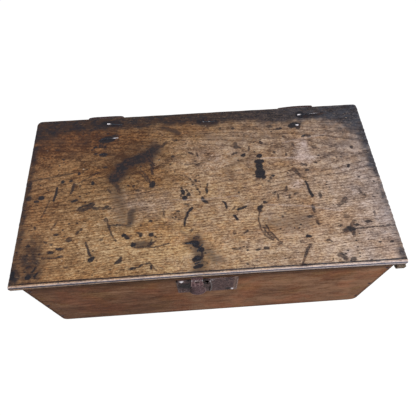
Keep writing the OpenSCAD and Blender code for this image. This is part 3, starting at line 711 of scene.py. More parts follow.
# x, y, half length, half width, strength, and a turn in degrees for those that aren't straight
INK_SPOTS = [
    # around the left hinge's nails
    (-178, 157, 21, 7.5, 0.8, -4), (-184, 117, 15, 7.5, 0.85, 12), (-172, 124, 9, 3, 0.75, 14),
    (-190, 80, 7, 4.0, 0.8), (-199, 103, 1.6, 4, 0.7, -10), (-194, 103, 1.4, 4, 0.6, -10),
    (-189, 99, 2.5, 2.5, 0.7), (-208, 99, 3, 1.6, 0.7, 30), (-213, 94, 2, 1.4, 0.6),
    # left back
    (-267, 74, 2.2, 1.8, 0.8), (-233, 39, 2.4, 2.2, 0.9), (-262, 23, 2.8, 2.8, 0.95),
    (-247, 24, 2.6, 2.2, 0.95), (-206, 16, 2.2, 3, 0.85), (-229, 11, 1.5, 2, 0.7), (-297, -10, 5, 4, 0.9),
    (-320, -9, 5, 4, 0.8), (-324, 22, 6, 4, 0.8, 20), (-322, 12, 3, 5, 0.7), (-236, -20, 5, 1.8, 0.85, 10),
    (-281, 98, 4, 1.5, 0.5),
    # left front
    (-300, -70, 2, 3, 0.8, 20), (-239, -97, 5, 4, 0.55), (-225, -85, 1.6, 4, 0.75, -30),
    (-219, -79, 1.6, 2, 0.6), (-253, -113, 5, 2, 0.85, 5), (-251, -127, 4, 1.5, 0.8, 5),
    (-270, -118, 3, 1.6, 0.5), (-277, -99, 3, 1.4, 0.7, -20), (-267, -103, 2, 1.4, 0.7),
    (-198, -135, 5, 3.4, 0.9, 30), (-178, -62, 2, 3, 0.7, -30), (-238, -147, 3, 1.6, 0.6),
    (-298, -160, 4.5, 3.6, 0.95, 25), (-285, -156, 4, 1.3, 0.9, 55), (-291, -148, 4, 1.3, 0.85, 55),
    (-300, -142, 4, 1.3, 0.7, 20), (-326, -155, 4.5, 7, 0.9), (-184, -100, 2.4, 1.3, 0.6),
    (-152, -143, 6, 2.8, 0.85, 15), (-148, -138, 1.8, 3, 0.8), (-128, -156, 5, 1.6, 0.9, 10),
    (-114, -153, 4, 1.3, 0.8, 25), (-103, -149, 3, 1.3, 0.7), (-97, -155, 1.6, 3.4, 0.85),
    # the oval ring and its neighbours
    (-145, -95, 3.6, 3, 0.9), (-139, -100, 4, 3, 0.85, -30), (-133, -97, 2.5, 1.5, 0.6),
    (-120, -92, 3.4, 1.6, 0.8, -20), (-116, -96, 2.2, 3.2, 0.85), (-98, -97, 3.6, 3.4, 0.85),
    (-98, -71, 2.8, 1.6, 0.8), (-128, -114, 4, 3.4, 0.95), (-75, -57, 1.6, 3.6, 0.5),
    (-122, -5, 4, 1.8, 0.7), (-130, 4, 2, 1.6, 0.7),
    # middle
    (-96, 5, 4.6, 7.4, 0.9, -15), (-96, 31, 1.8, 3, 0.7), (-40, -15, 2.8, 4.8, 0.95, 20),
    (-37, -28, 3.8, 4.0, 0.95, -20), (-30, -21, 2.8, 3.4, 0.9), (-42, -7, 1.3, 2.4, 0.7),
    (-33, -12, 1.4, 2.4, 0.7, 30), (-43, -23, 1.5, 2.2, 0.7), (-16, 10, 2, 1.7, 0.8), (-14, 52, 2, 1.8, 0.6),
    (-21, 71, 4, 1.6, 0.75, -30), (-9, 68, 1.6, 4, 0.7, 15), (-33, 46, 2, 1.4, 0.6),
    (-4, -32, 2.4, 2.8, 0.85), (-1, -38, 4.4, 2.4, 0.85, -25), (4, -15, 1.8, 4.4, 0.85),
    (-9, -20, 1.4, 3, 0.6), (40, 129, 2, 1.6, 0.7), (66, 127, 3, 2.6, 0.75), (-50, 105, 4, 2, 0.7, 15),
    (80, 60, 4.2, 3, 0.9, 30), (60, 64, 3, 2, 0.7, 45), (67, 66, 2, 2, 0.6), (93, 75, 1.6, 4.6, 0.75, -15),
    (66, 88, 4, 5, 0.4), (68, 80, 4, 4, 0.45),
    # the tall scorch and the dot above it
    (110, 56, 4.6, 4, 0.95), (109, 43, 8.5, 4.4, 1.0), (107, 31, 6.2, 10, 1.0), (107, 18, 9.4, 8, 1.0),
    (104, 9, 6, 4, 0.95), (112, 7, 4, 3.6, 0.95), (130, 9, 2.8, 2, 0.85), (125, 4, 2, 1.5, 0.8),
    (99, 2, 4, 1.4, 0.6, 10), (94, 13, 2, 1.5, 0.6),
    # right of it
    (118, 87, 3.4, 2, 0.65, -30), (158, 120, 6, 2.2, 0.8, 5), (166, 98, 4, 2, 0.75, -25),
    (205, 98, 4, 1.8, 0.7, 30), (179, 77, 1.8, 3, 0.65, 15), (140, 63, 3, 2, 0.7, -30),
    (163, 56, 1.8, 2.6, 0.6), (220, 69, 4.4, 2.4, 0.5, -20), (292, 64, 2.4, 3, 0.7),
    (290, 48, 1.8, 1.5, 0.6), (275, 21, 2.4, 3.2, 0.85, -15), (188, 30, 3.2, 3.2, 0.55),
    (195, 29, 2.2, 3, 0.7, 30), (209, -38, 2.2, 5.0, 0.6, -10), (150, -21, 2, 4.4, 0.6, -15),
    (133, -37, 1.3, 4, 0.5), (153, -38, 1.3, 3.4, 0.55, -10), (128, -29, 1.6, 1.4, 0.6),
    (284, -38, 1.6, 4, 0.6, 15), (289, -44, 1.4, 2.6, 0.5, 30), (192, -66, 2.2, 6, 0.8),
    (182, -81, 4, 1.8, 0.75, 5), (193, -94, 1.8, 4.6, 0.7, 5), (246, -86, 4, 3, 0.3),
    (107, -48, 3.6, 1.7, 0.8), (97, -57, 5, 3.4, 0.85, 35), (96, -63, 3, 2.4, 0.8),
    (50, -56, 3, 1.3, 0.6, 45), (282, -99, 5, 2.2, 0.75, 5), (297, -82, 1.4, 2.6, 0.6),
    (173, -119, 4.2, 2.2, 0.95, -15), (205, -129, 3, 1.4, 0.65), (159, -128, 3, 1.4, 0.5),
    (122, -128, 3.4, 2, 0.5, 10), (83, -137, 3.4, 1.7, 0.7, 15), (46, -104, 2, 3, 0.5),
    (248, -111, 6.6, 5, 0.85, -10), (240, -112, 7, 3, 0.75, 12), (251, -118, 2.4, 6, 0.7),
    (233, -103, 3, 1.7, 0.65, 20), (253, -101, 2, 6, 0.6, -35), (220, -157, 5.6, 4.4, 0.62),
    (225, -163, 3.6, 4, 0.6, 20), (239, -166, 4.6, 3.8, 0.62), (-27, -93, 3, 1.6, 0.55, 30),
    (-33, -42, 3, 1.4, 0.6), (165, -33, 4, 1.3, 0.5, 40),
    # around the right hinge's nails
    (190, 127, 12, 6, 0.9, 12), (197, 125, 5, 8, 0.8), (207, 153, 9, 8, 0.85), (217, 150, 9, 6, 0.8),
    (238, 153, 18, 4, 0.6, 5), (10, 151, 15, 6, 0.75, 4), (26, 148, 12, 4, 0.7, -8), (214, 97, 4, 3, 0.8),
    (140, 127, 5, 3, 0.45),
    # iron-black stains at the hasp's nails
    (-30, -117, 9, 2.0, 1.0, 5), (-19, -118, 3.4, 3.4, 1.0), (-21, -124, 6, 2.0, 0.95, -25),
    (-13, -131, 4, 4.4, 1.0, 30), (-20, -146, 6, 4.2, 0.95), (-26, -148, 3, 3, 0.9),
    (-18, -160, 6, 2.6, 0.95, 10), (-24, -162, 3, 2.4, 0.9), (-20, -108, 5, 2.4, 0.6, 10),
    (-12, -140, 1.4, 4, 0.8),
]

# x and y of each point, half width at the two ends, strength
INK_STROKES = [
    # the hooked stain
    ((-168, 18, -165, 28, -160, 38, -152, 48), 7.0, 10.5, 0.74),
    ((-152, 48, -141, 57, -126, 61, -112, 65), 10.5, 11.0, 0.70),
    ((-112, 65, -103, 74, -93, 86), 11.0, 5.5, 0.76),
    ((-93, 86, -84, 94, -72, 101, -62, 107), 5.6, 1.0, 0.6), ((-100, 66, -97, 50, -96, 34), 4.4, 1.6, 0.8),
    ((-118, 40, -110, 30, -103, 18, -98, 8), 0.9, 1.1, 0.7), ((-121, 33, -111, 23, -104, 12), 0.6, 0.6, 0.5),
    ((-168, 14, -160, 6, -157, -4), 3.4, 2.4, 0.5), ((-177, 0, -172, -6), 1.6, 1.4, 0.6),
    # the teardrop and its tail
    ((-229, -39, -220, -36, -206, -32), 2.0, 6.0, 0.62), ((-206, -32, -202, -30), 5.0, 2.0, 0.75),
    ((-228, -37, -217, -31, -203, -27), 1.0, 1.3, 0.9), ((-200, -38, -186, -39, -170, -40), 2.2, 1.6, 0.66),
    # brush strokes near the middle
    ((-24, -50, -32, -59, -37, -70, -40, -84), 1.8, 1.0, 0.95),
    ((57, -58, 64, -56, 71, -54), 1.7, 1.5, 0.98), ((49, -70, 54, -79), 1.6, 1.6, 0.98),
    ((31, -40, 36, -45, 38, -53), 0.9, 1.8, 0.95), ((7, 0, 4, -12), 0.7, 0.8, 0.7),
    ((62, -106, 70, -101), 1.0, 1.0, 0.8), ((40, -134, 50, -134, 59, -131), 0.7, 0.5, 0.7),
    ((-34, 20, -27, 13, -19, 2, -12, -10, -9, -20), 1.3, 0.4, 0.30),
    # the feather
    ((94, -64, 91, -80, 92, -97, 98, -112, 110, -122), 0.5, 0.7, 0.66),
    ((103, -93, 106, -104, 113, -113, 120, -124), 0.8, 0.6, 0.74),
    ((98, -101, 104, -111, 112, -119), 0.6, 0.6, 0.8), ((96, -97, 106, -99), 0.7, 0.5, 0.85),
    ((98, -106, 110, -107), 0.7, 0.5, 0.85),
    # long dark strokes on the right
    ((172, 21, 176, 13, 180, 5), 3.4, 2.6, 0.62), ((188, -8, 191, -22, 194, -40), 0.7, 2.4, 0.95),
    ((172, -136, 165, -145, 157, -160, 152, -171), 1.9, 1.0, 0.72),
    ((254, -50, 246, -57, 238, -63), 3.2, 2.0, 0.42),
    # strokes on the left
    ((-270, 10, -272, -4, -274, -16), 1.3, 1.5, 0.9), ((-241, 16, -242, 6, -244, -4), 2.2, 0.9, 0.8),
    ((-238, 14, -225, 22, -196, 40), 0.6, 0.4, 0.5), ((-264, -62, -268, -69, -271, -75), 0.6, 0.9, 0.7),
    ((-210, -104, -205, -115, -200, -128), 0.8, 1.5, 0.85),
    ((-176, -62, -172, -76, -167, -90, -158, -105), 0.8, 0.5, 0.7),
    ((-170, -74, -155, -75, -141, -76), 1.1, 0.8, 0.75),
    ((-110, -119, -95, -121, -78, -119, -67, -115), 0.7, 0.5, 0.75),
    ((-101, -118, -95, -113, -89, -109), 1.1, 0.7, 0.8), ((-100, -148, -94, -156, -88, -164), 0.5, 0.4, 0.5),
    ((-281, -16, -286, -32, -292, -50), 0.4, 0.5, 0.5), ((-325, 27, -280, 35, -236, 43), 0.5, 0.5, 0.55),
    ((-280, -128, -266, -129, -252, -128), 0.9, 0.6, 0.55),
    # the dark drying crack at the right
    ((252, -110, 290, -109, 329, -108), 0.5, 0.4, 0.85),
    # outline of the oval
    ((-127, -118, -118, -121, -106, -119, -98, -112, -97, -107), 0.8, 0.6, 0.7),
    # two smudged rows of small strokes behind the middle
    ((-52, 68, -40, 70, -30, 69), 0.4, 0.6, 0.4), ((-32, 45, -18, 46, -6, 45), 0.8, 0.6, 0.4),
]

# x and y of each point, half width at the two ends, strength: soft brown or grey stains
SOFT_STAINS = [
    ((-76, 140, -60, 133, -44, 122), 7, 9, 0.85), ((-160, 4, -157, -16, -152, -34), 14, 17, 0.54),
    ((-152, -34, -150, -52, -148, -66), 18, 16, 0.46), ((-138, -72, -131, -60, -124, -48), 10, 7, 0.85),
    ((-122, -112, -112, -113, -103, -110), 7, 7, 0.8), ((-52, -92, -42, -102, -34, -110), 5, 4, 0.45),
    ((-24, -114, -12, -136, -14, -162), 18, 18, 0.8), ((-14, -122, 4, -136, 14, -156), 14, 10, 0.6),
    ((76, 99, 110, 99, 160, 104), 6, 4, 0.5), ((-6, 156, 10, 150, 36, 146), 8, 7, 0.7),
    ((-166, 24, -150, 50, -125, 62, -104, 70, -88, 90), 19, 17, 0.88),
    ((-175, 66, -140, 84, -110, 96), 26, 22, 0.34), ((66, 90, 68, 78), 6, 5, 0.4),
    ((100, 45, 106, 10), 13, 12, 0.3), ((175, 26, 184, 0), 8, 6, 0.3), ((-190, 120, -180, 118), 14, 12, 0.5),
    ((180, 132, 205, 128), 10, 9, 0.6), ((200, 155, 250, 152), 14, 12, 0.45),
    ((-325, -70, -322, -110), 9, 9, 0.5), ((240, -112, 254, -110), 12, 9, 0.35),
    ((-290, 128, -270, 118), 14, 8, 0.5), ((112, -92, 150, -96, 172, -88), 26, 20, 0.40),
    ((52, 26, 60, 40, 84, 52), 20, 18, 0.32), ((-20, 118, 40, 100, 90, 96), 12, 10, 0.36),
    ((-62, 12, -30, 22), 10, 12, 0.14), ((-238, -97, -236, -94), 7, 6, 0.3),
]

# x, y, radius along x, radius along y, strength: pale patches, partly rubbed wear and partly painted sheen
PALE_WEAR_AND_SHEEN = [
    (194, 60, 24, 40, 0.72), (203, 78, 7, 12, 0.6), (186, 44, 30, 10, 0.4), (172, -14, 18, 13, 0.8),
    (20, 50, 46, 44, 0.4), (-90, -30, 60, 34, 0.22), (-190, -110, 90, 50, 0.22), (60, -120, 90, 50, 0.22),
    (270, -120, 60, 60, 0.30), (300, 10, 24, 22, 0.35), (-35, 0, 26, 20, 0.24), (250, -20, 60, 60, 0.14),
    (100, -60, 40, 14, 0.2), (-240, -60, 60, 26, 0.16), (-100, -96, 26, 10, 0.25),
]

# x, y, lengths along x and y in radii, radius, reach of its fade, strength: patches of handling dirt
DIRT_PATCHES = [
    (-335, 178, 1, 1, 52, 24, 1.15), (335, 185, 1, 1, 66, 32, 1.15), (-330, -158, 1, 1, 14, 12, 1.00),
    (-300, -130, 1, 1.8, 8, 30, 0.80), (326, 30, 1, 4.5, 6, 9, 0.95), (325, -158, 1, 1, 5, 12, 0.80),
    (15, 154, 1.6, 1, 14, 12, 0.80), (220, 158, 2.2, 1, 12, 12, 0.75),
]

# x and y of each point, half width, depth, how bare and pale: scratches and the drying crack cut into the top
SCRATCHES = [
    ((250, -111, 290, -110, 330, -109), 0.8, 0.9, 0.0), ((112, 49, 130, 50, 176, 47), 0.3, 0.25, 0.42),
    ((-325, 27, -280, 35, -236, 43), 0.6, 0.35, 0.0), ((-322, 60, -270, 66, -224, 76), 0.5, 0.25, 0.0),
    ((112, -52, 180, -60, 240, -74), 0.5, 0.25, 0.3), ((-281, -16, -286, -32, -292, -50), 0.6, 0.3, 0.0),
    ((160, 84, 200, 92, 250, 100), 0.5, 0.2, 0.3), ((-60, -30, -10, -34, 60, -30), 0.4, 0.15, 0.25),
]


INK_FADE = 5.0     # mm over which an ink mark's value falls from 0.5 at its edge to nothing
INK_SPREAD = 0.7   # mm by which ink has crept past each drawn outline
SPOT_BOOST = 1.08  # how much darker spots are than listed
WIDE = 5           # mm of half width from which a stroke's outline wanders more


def segment_field(x, y, stroke, width_0=0, width_1=0):
    """Distance in mm from a stroke's edge: negative inside it."""
    points = list(zip(stroke[::2], stroke[1::2]))
    best = np.full(len(x), 1e6)
    lengths = [math.dist(a, b) for a, b in zip(points, points[1:])]
    run, total = 0.0, sum(lengths)
    for (ax, ay), (bx, by), length in zip(points, points[1:], lengths):
        t = np.clip(((x - ax) * (bx - ax) + (y - ay) * (by - ay)) / length**2, 0, 1)
        width = width_0 + (width_1 - width_0) * (run + t * length) / total
        best = np.minimum(best, np.hypot(x - ax - t * (bx - ax), y - ay - t * (by - ay)) - width)
        run += length
    return best


def spot_field(x, y, cx, cy, half_length, half_width, turn=0):
    """About the distance in mm from an oval spot's edge: negative inside it."""
    c, s = math.cos(math.radians(turn)), math.sin(math.radians(turn))
    u = ((x - cx) * c + (y - cy) * s) / half_length
    v = ((y - cy) * c - (x - cx) * s) / half_width
    return (np.hypot(u, v) - 1) * min(half_length, half_width)


def spread(x, y, cx, cy, rx, ry):
    """A soft patch: 1 at its middle, falling to nothing past its radii."""
    return np.exp(-(np.abs((x - cx) / rx) ** 2.0) - np.abs((y - cy) / ry) ** 2.0)


def near(distance, reach):
    """1 up to a border, then fading over reach mm."""
    return np.exp(-np.clip(distance, 0, None) / reach)


def oval(x, y, cx, cy, long_x, long_y, radius, reach):
    """1 within an oval, radius mm times its two lengths, then fading over reach mm."""
    return near(np.hypot((x - cx) / long_x, (y - cy) / long_y) - radius, reach)


def lid_marks(points, top):
    """What each point of the lid carries, by attribute name, and the depth of its cut in mm."""
    x, y = points[:, 0], points[:, 1]
    # wander, so that no mark has a drawn edge
    wx = x + (layered_noise(points, 9, 5) - 0.5) * 4.0
    wy = y + (layered_noise(points, 9, 9) - 0.5) * 4.0
    far_x = x + (layered_noise(points, 20, 15, 4) - 0.5) * 22.0
    far_y = y + (layered_noise(points, 20, 19, 4) - 0.5) * 22.0
    ink = np.zeros(len(x))
    tone = np.zeros(len(x))

    def lay(distance, strength):
        value = np.clip(0.5 - (distance - INK_SPREAD) / (2 * INK_FADE), 0, 1)
        tone[:] = np.where(value > ink, strength, tone)
        ink[:] = np.maximum(ink, value)

    for cx, cy, a, b, strength, *turn in INK_SPOTS:
        lay(spot_field(wx, wy, cx, cy, a, b, *turn), min(1.0, strength * SPOT_BOOST))
    for stroke, w0, w1, strength in INK_STROKES:
        wide = max(w0, w1) > WIDE
        lay(segment_field(far_x if wide else wx, far_y if wide else wy, stroke, w0, w1), strength)
    stain = np.zeros(len(x))
    for stroke, w0, w1, strength in SOFT_STAINS:
        distance = segment_field(far_x, far_y, stroke)
        stain = np.maximum(stain, strength * np.exp(-((distance / ((w0 + w1) / 2)) ** 2)))
    pale_and_sheen = sum(strength * spread(x, y, cx, cy, rx, ry) for cx, cy, rx, ry, strength in PALE_WEAR_AND_SHEEN)
    cut, scraped = np.zeros(len(x)), np.zeros(len(x))
    for stroke, width, depth, bare in SCRATCHES:
        distance = segment_field(x, y, stroke)
        line = np.exp(-((distance / (width + 0.8)) ** 2))
        cut = np.maximum(cut, depth * line)
        scraped = np.maximum(scraped, bare * line)

    # old patina at the left and the back, worn paler to the front and the right
    wear = 0.47 + 0.00036 * x - 0.0006 * y
    wear += 0.10 * spread(x, y, 10, 0, 110, 90) + 0.12 * spread(x, y, -170, -110, 110, 40)
    darker = 0.12 * spread(x, y, -135, 0, 42, 70) + 0.22 * spread(x, y, -140, 70, 90, 55)
    wear -= darker + 0.16 * oval(x, y, -260, 120, 2.0, 1, 30, 25)
    red = 0.9 * oval(x, y, -240, 115, 2.6, 1, 18, 22) + 0.4 * near(x + 295, 40)
    red = np.clip(red, 0, 0.9)
    grey = np.clip(0.10 + 0.0016 * (x + 60), -0.15, 0.8) + 0.3 * near(310 - x, 40)
    grey += 0.25 * spread(x, y, 10, 70, 60, 40) + 0.45 * spread(x, y, -120, -35, 70, 28)
    grey -= 0.3 * spread(x, y, -190, -135, 110, 35)

    # handling dirt along the back, the ends and in patches
    backward = np.clip((y + 40) / 120, 0, 1)
    right_reach = 9 + 10 * np.clip((y + 20) / 120, 0, 1)
    dirt = [
        1.25 * near(157 - y, 15),
        1.10 * near(150 - y, 14) * near(x + 130, 60),
        1.20 * near(148 - y, 17) * near(130 - x, 40),
        (0.48 + 0.54 * backward) * near(322 - x, right_reach),
        0.75 * near(x + 322, 10),
        0.42 * spread(x, y, 300, 105, 70, 70),
        0.42 * spread(x, y, -230, 120, 110, 50),
    ]
    dirt += [strength * oval(x, y, *patch) for *patch, strength in DIRT_PATCHES]
    grime = np.maximum.reduce(dirt)
    # the edges are dirtier than the underside
    grime = np.where(top, grime, np.where(points[:, 2] > LID_LOW + 1.0, 0.62, 0.22))
    on_top = top.astype(float)
    values = {
        "wear": wear,
        "red": red,
        "grey": grey,
        "ink": ink * on_top,
        "ink_tone": tone,
        "stain": stain * on_top,
        "grime": grime,
        "pale_and_sheen": pale_and_sheen * on_top,
        "rub": scraped * on_top,
    }
    return values, cut * on_top


# ---------- the lid ----------

TOP_STEP, UNDER_STEP = 1.9, 16.0  # mm between points from back to front
COLUMNS = 397                     # points along the lid, without its rounded ends
ARRIS = 1.0                       # mm by which the ends are rounded over
CAP_SHARES = (0.4, 0.8, 0.98)     # how far the rings that close an end are drawn in


def lid_profile():
    """(y, z) points round the lid's section, with two beads, their quirks and the scratched line.

    Also how far each point is a rubbed crown with a painted highlight, up to 1, or a groove painted dark,
    down to -2.
    """
    points, rubs = [], []

    def add(y, z, rub=0.0):
        points.append((y, z))
        rubs.append(rub)

    for y in np.arange(LID_BACK - 2.0, LID_FRONT + 8.6, -TOP_STEP):
        add(y, LID_TOP)
    for dy, dz, rub in (
        # the scratched line
        (7.9, -0.1, -0.6), (7.4, -0.8, -1), (6.7, -1.0, -1), (6.1, -0.6, -1),
        # the bead on the top's edge
        (5.6, -0.1, 0.1), (4.8, 0, 0.3), (3.8, 0, 0.6), (2.6, -0.1, 1.0), (1.9, -0.4, 0.9),
        # the quirk at the corner
        (1.7, -1.0, -2), (1.9, -1.8, -2), (0.8, -2.4, -2),
        # the bead on the front, and the low one under it
        (0.1, -3.0, 0.8), (0.0, -4.2, 1.0), (0.0, -5.4, 1.0), (0.3, -6.2, 0.6), (1.8, -6.8, -0.8),
        (1.5, -7.6, -0.8), (0.7, -8.4, -0.7), (0.5, -9.6, -0.5), (0.9, -11.0, -0.6), (1.8, -12.0, -0.8),
        (2.2, -13.2, 0), (2.6, -14.0, 0),
    ):
        add(LID_FRONT + dy, LID_TOP + dz, rub)
    for y in np.arange(LID_FRONT + 8, LID_BACK - 4, UNDER_STEP):
        add(y, LID_LOW)
    for dy, dz, rub in (
        # the back edge, from below
        (1.2, 0, 0), (0.2, 1, 0.1), (0, 4, 0), (0, 8, 0), (0, 11.6, 0), (0.3, 13, 0.3), (1.1, 13.8, 0.4),
    ):
        add(LID_BACK - dy, LID_LOW + dz, rub)
    return np.array(points), np.array(rubs)


def lid_shell():
    """The unworn lid: its points in mm, its faces, and how far its section is a rubbed, highlighted crown or
    a groove painted dark at each point.
    """
    profile, rubs = lid_profile()
    count = len(profile)
    # inward normals of the section, to round over the ends
    tangent = np.roll(profile, -1, axis=0) - np.roll(profile, 1, axis=0)
    inward = np.stack([-tangent[:, 1], tangent[:, 0]], axis=1)
    inward /= np.linalg.norm(inward, axis=1)[:, None]
    if np.sum(inward[0] * ((0.0, LID_MIDDLE) - profile[0])) < 0:
        inward = -inward
    turns = np.radians((0, 30, 60))
    left = [(-LID_HALF + ARRIS * (1 - math.cos(t)), ARRIS * (1 - math.sin(t))) for t in turns]
    inner = np.linspace(-LID_HALF + ARRIS, LID_HALF - ARRIS, COLUMNS)
    right = [(-x, inset) for x, inset in reversed(left)]
    rows = left + [(x, 0.0) for x in inner] + right
    rings = [np.column_stack([np.full(count, x), profile + inward * inset]) for x, inset in rows]
    # each end is closed by more rings, drawn in towards the middle of the thickness
    last = len(rows) - 1
    for end in (0, last):
        for share in CAP_SHARES:
            ring = rings[end].copy()
            ring[:, 2] += (LID_MIDDLE - ring[:, 2]) * share
            rings.append(ring)
    faces = []

    def bridge(a, b, flip):
        for i in range(count):
            j = (i + 1) % count
            quad = (a * count + i, a * count + j, b * count + j, b * count + i)
            faces.append(quad[::-1] if flip else quad)

    for row in range(last):
        bridge(row, row + 1, True)
    left_cap = (0, last + 1, last + 2, last + 3)
    right_cap = (last, last + 4, last + 5, last + 6)
    for cap, flip in ((left_cap, False), (right_cap, True)):
        for a, b in zip(cap, cap[1:]):
            bridge(a, b, flip)
    return np.concatenate(rings), faces, np.tile(rubs, len(rings))


def wear_lid(points, top, cut):
    """Moves the lid's points in, as far as each of its edges and faces is worn and cut."""
    x, y, z = points.T.copy()
    none = np.zeros(len(x))
    # ends: ragged end grain, and the corners rounded off, most of all the two at the back
    end_depth = np.clip((np.abs(x) - (LID_HALF - 20)) / 20, 0, 1) ** 2
    end_grain = np.column_stack([none, y, z])
    ragged = layered_noise(end_grain, (9, 7, 5), 21)
    fine_rag = value_noise(end_grain, (4, 2.6, 3), 22)
    inwards = 0.1 + 0.7 * ragged + np.where(x > 0, 1.2, 0.4) * fine_rag
    radius = np.where(x < 0, 11.0, 7.0)
    back_corner = np.clip((y - LID_BACK + radius) / radius, 0, 1)
    corner = radius * (1 - np.sqrt(np.clip(1 - back_corner**2, 0, 1)))
    front_corner = np.clip((-y - 175.5) / 2.5, 0, 1)
    corner += 0.8 * front_corner**2
    points[:, 0] = np.sign(x) * (np.abs(x) - end_depth * (inwards + corner))
    # front edge: hollowed a little along the middle, chipped here and there
    front = np.clip((-y - 150) / 28, 0, 1) ** 2
    hollow = 2.1 * (1 - (x / LID_HALF) ** 2)
    chips = layered_noise(np.column_stack([x, none, z]), (30, 30, 9), 31)
    nick = np.clip(chips - 0.62, 0, 1) * 4.0
    points[:, 1] += front * (hollow + 0.25 * chips) + np.where(y < LID_FRONT + 4, nick, 0)
    # back edge: ragged, and worn off towards the left
    back = np.clip((y - 150) / 25, 0, 1) ** 2
    back_rag = layered_noise(np.column_stack([x, z, none]), (22, 9, 9), 33)
    points[:, 1] -= back * (0.8 * back_rag + 0.8 * np.clip(1 - (x + LID_HALF) / (2 * LID_HALF), 0, 1))
    # top: planed by hand, with worn edges and cuts
    flat = np.column_stack([x, y, none])
    planed = 0.22 * layered_noise(flat, (70, 16, 16), 41, 2) + 0.12 * value_noise(flat, (9, 5, 5), 43)
    edge_wear = 0.9 * np.exp(-(LID_HALF - np.abs(x)) / 2.2) + 0.7 * np.exp(-(LID_BACK - y) / 2.2)
    edge_wear *= 0.4 + value_noise(flat, (17, 13, 13), 45)
    points[:, 2] -= np.where(top, planed + edge_wear + cut, 0)
    under = z < LID_LOW + 0.5
    points[:, 2] += np.where(under, 0.25 * layered_noise(flat, (40, 20, 20), 47, 2), 0)


def make_lid():
    points, faces, rub = lid_shell()
    unworn = points.copy()
    x, _, z = unworn.T
    top = z > LID_TOP - 1.6
    values, cut = lid_marks(unworn, top)
    wear_lid(points, top, cut)

    at_end = np.clip((np.abs(x) - (LID_HALF - 1.2)) / 1.2, 0, 1)
    end_rub = at_end * np.where((z > LID_TOP - 1.5) | (z < LID_LOW + 1), 0.7, 0.1)
    patch = layered_noise(unworn, 26, 51)
    # the grooves are painted darker and the crowns are kept clean
    values["grime"] = np.maximum(values["grime"], np.where(rub < 0, -1.6 * rub, 0))
    values["grime"] = np.where(rub > 0, 0.1, values["grime"])
    # the grooves and the quirk are painted darker, bluer to the right and in the quirk; the front bead's
    # crown is rubbed bare and painted with a highlight only to the right
    rightward = np.clip((x + LID_HALF) / (2 * LID_HALF), 0, 1)
    values["grey"] = np.where(rub < 0, 0.15 + 0.7 * rightward, values["grey"])
    values["grey"] = np.where(rub < -1.5, 1.2 + 0.6 * rightward, values["grey"])
    bare = np.where(z > LID_TOP - 2.7, 0.72 + 0.28 * rightward, 0.16 + 0.74 * rightward**1.3)
    crown_rub_and_highlight = np.clip(rub, 0, 1) * bare
    values["rub"] = np.clip(crown_rub_and_highlight * np.clip(0.5 + patch, 0.6, 1) + end_rub * patch + values["rub"], 0, 1)

    obj = new_object("lid_board_worn", points * MM, faces)
    mesh = obj.data
    for name, value in values.items():
        add_attribute(mesh, name, value)
    bm = bmesh.new()
    bm.from_mesh(mesh)
    bmesh.ops.holes_fill(bm, edges=bm.edges[:], sides=0)
    bmesh.ops.recalc_face_normals(bm, faces=bm.faces[:])
    bm.to_mesh(mesh)
    bm.free()
    finish_mesh(obj, oak_lid, "lid", "lid_board", 50)


make_lid()

# ---------- the other boards, eased and dented ----------

LONG_DENTS, DEEP_DENTS, CLEAT_DENTS = (60, 30, 18), (30, 60, 18), (12, 22, 12)

# node, material, cells, arris, depth and size of its dents in mm, shape
BOARDS = [
    ("front_board", oak_front, (5, 0, 5), 0.8, 0.30, LONG_DENTS, worn_foot),
    ("back_board", oak_dark, (7, 0, 7), 0.8, 0.35, LONG_DENTS, worn_foot),
    ("left_side_board", oak_side, (5, 9, 5), 0.6, 0.30, DEEP_DENTS, worn_foot),
    ("right_side_board", oak_side, (5, 9, 5), 0.6, 0.30, DEEP_DENTS, worn_foot),
    ("bottom_board", oak_dark, (5, 12, 5), 0.8, 0.30, LONG_DENTS, worn_foot),
    ("left_cleat", oak_dark_end, (4, 6, 4), 0.5, 0.5, CLEAT_DENTS, None),
    ("right_cleat", oak_pale_end, (2, 6, 2), 2.0, 0.5, CLEAT_DENTS, None),
]
for seed, (node, material, cells, arris, dent, dent_size, shape) in enumerate(BOARDS, 3):
    worked(node, material, cells, arris, dent, dent_size, seed, shape)

# ---------- the ironwork ----------

FORGED_DENTS = 7
FIRST_SEED = 60

# nodes, material, cell, arris and depth of its dents in mm
FORGED = [
    (("lock_plate",), iron_plate, 3, 0.35, 0.30),
    (("hasp_plate",), iron_hasp_lightened, 2, 0.45, 0.35),
    (("hasp_staple",), iron_worn, 2, 0.35, 0.15),
    # the strap takes the lighter hasp iron: painted light where the lid shades it
    (("hasp_strap",), iron_hasp_lightened, 3, 0.35, 0.25),
    (("key_guard",), iron_worn, 2, 0.5, 0.20),
    (("left_hinge_leaf", "right_hinge_leaf"), iron, 3, 0.35, 0.25),
    (("left_lid_strap", "right_lid_strap"), iron, 4, 0.35, 0.25),
    (("front_nails", "back_nails"), iron, 2, 0.25, 0.25),
    (("bottom_nails", "cleat_nails"), iron, 3, 0.25, 0.2),
    (("left_leaf_nails", "right_leaf_nails"), iron, 2, 0.25, 0.25),
    (("lock_plate_nails",), iron_plate, 1.5, 0.3, 0.3),
    (("left_strap_nails", "right_strap_nails"), iron_stained, 1.5, 0.0, 0.35),
    (("hasp_strap_nails", "old_lid_nail"), iron_stained, 1.5, 0.0, 0.35),
    (("hasp_pin",), iron_hasp_lightened, 2, 0.2, 0.08),
    (("left_hinge_pin", "right_hinge_pin"), iron_worn, 4, 0.2, 0.08),
    (("lock_bolt",), iron_worn, 3, 0.3, 0.1),
    (("bolt_guides", "bolt_keeper"), iron, 3, 0.2, 0.1),
    (("bolt_spring",), iron_worn, 2, 0.0, 0.04),
    (("key_ward",), iron, 2, 0.1, 0.08),
    (("lock_cap",), iron, 4, 0.25, 0.15),
]
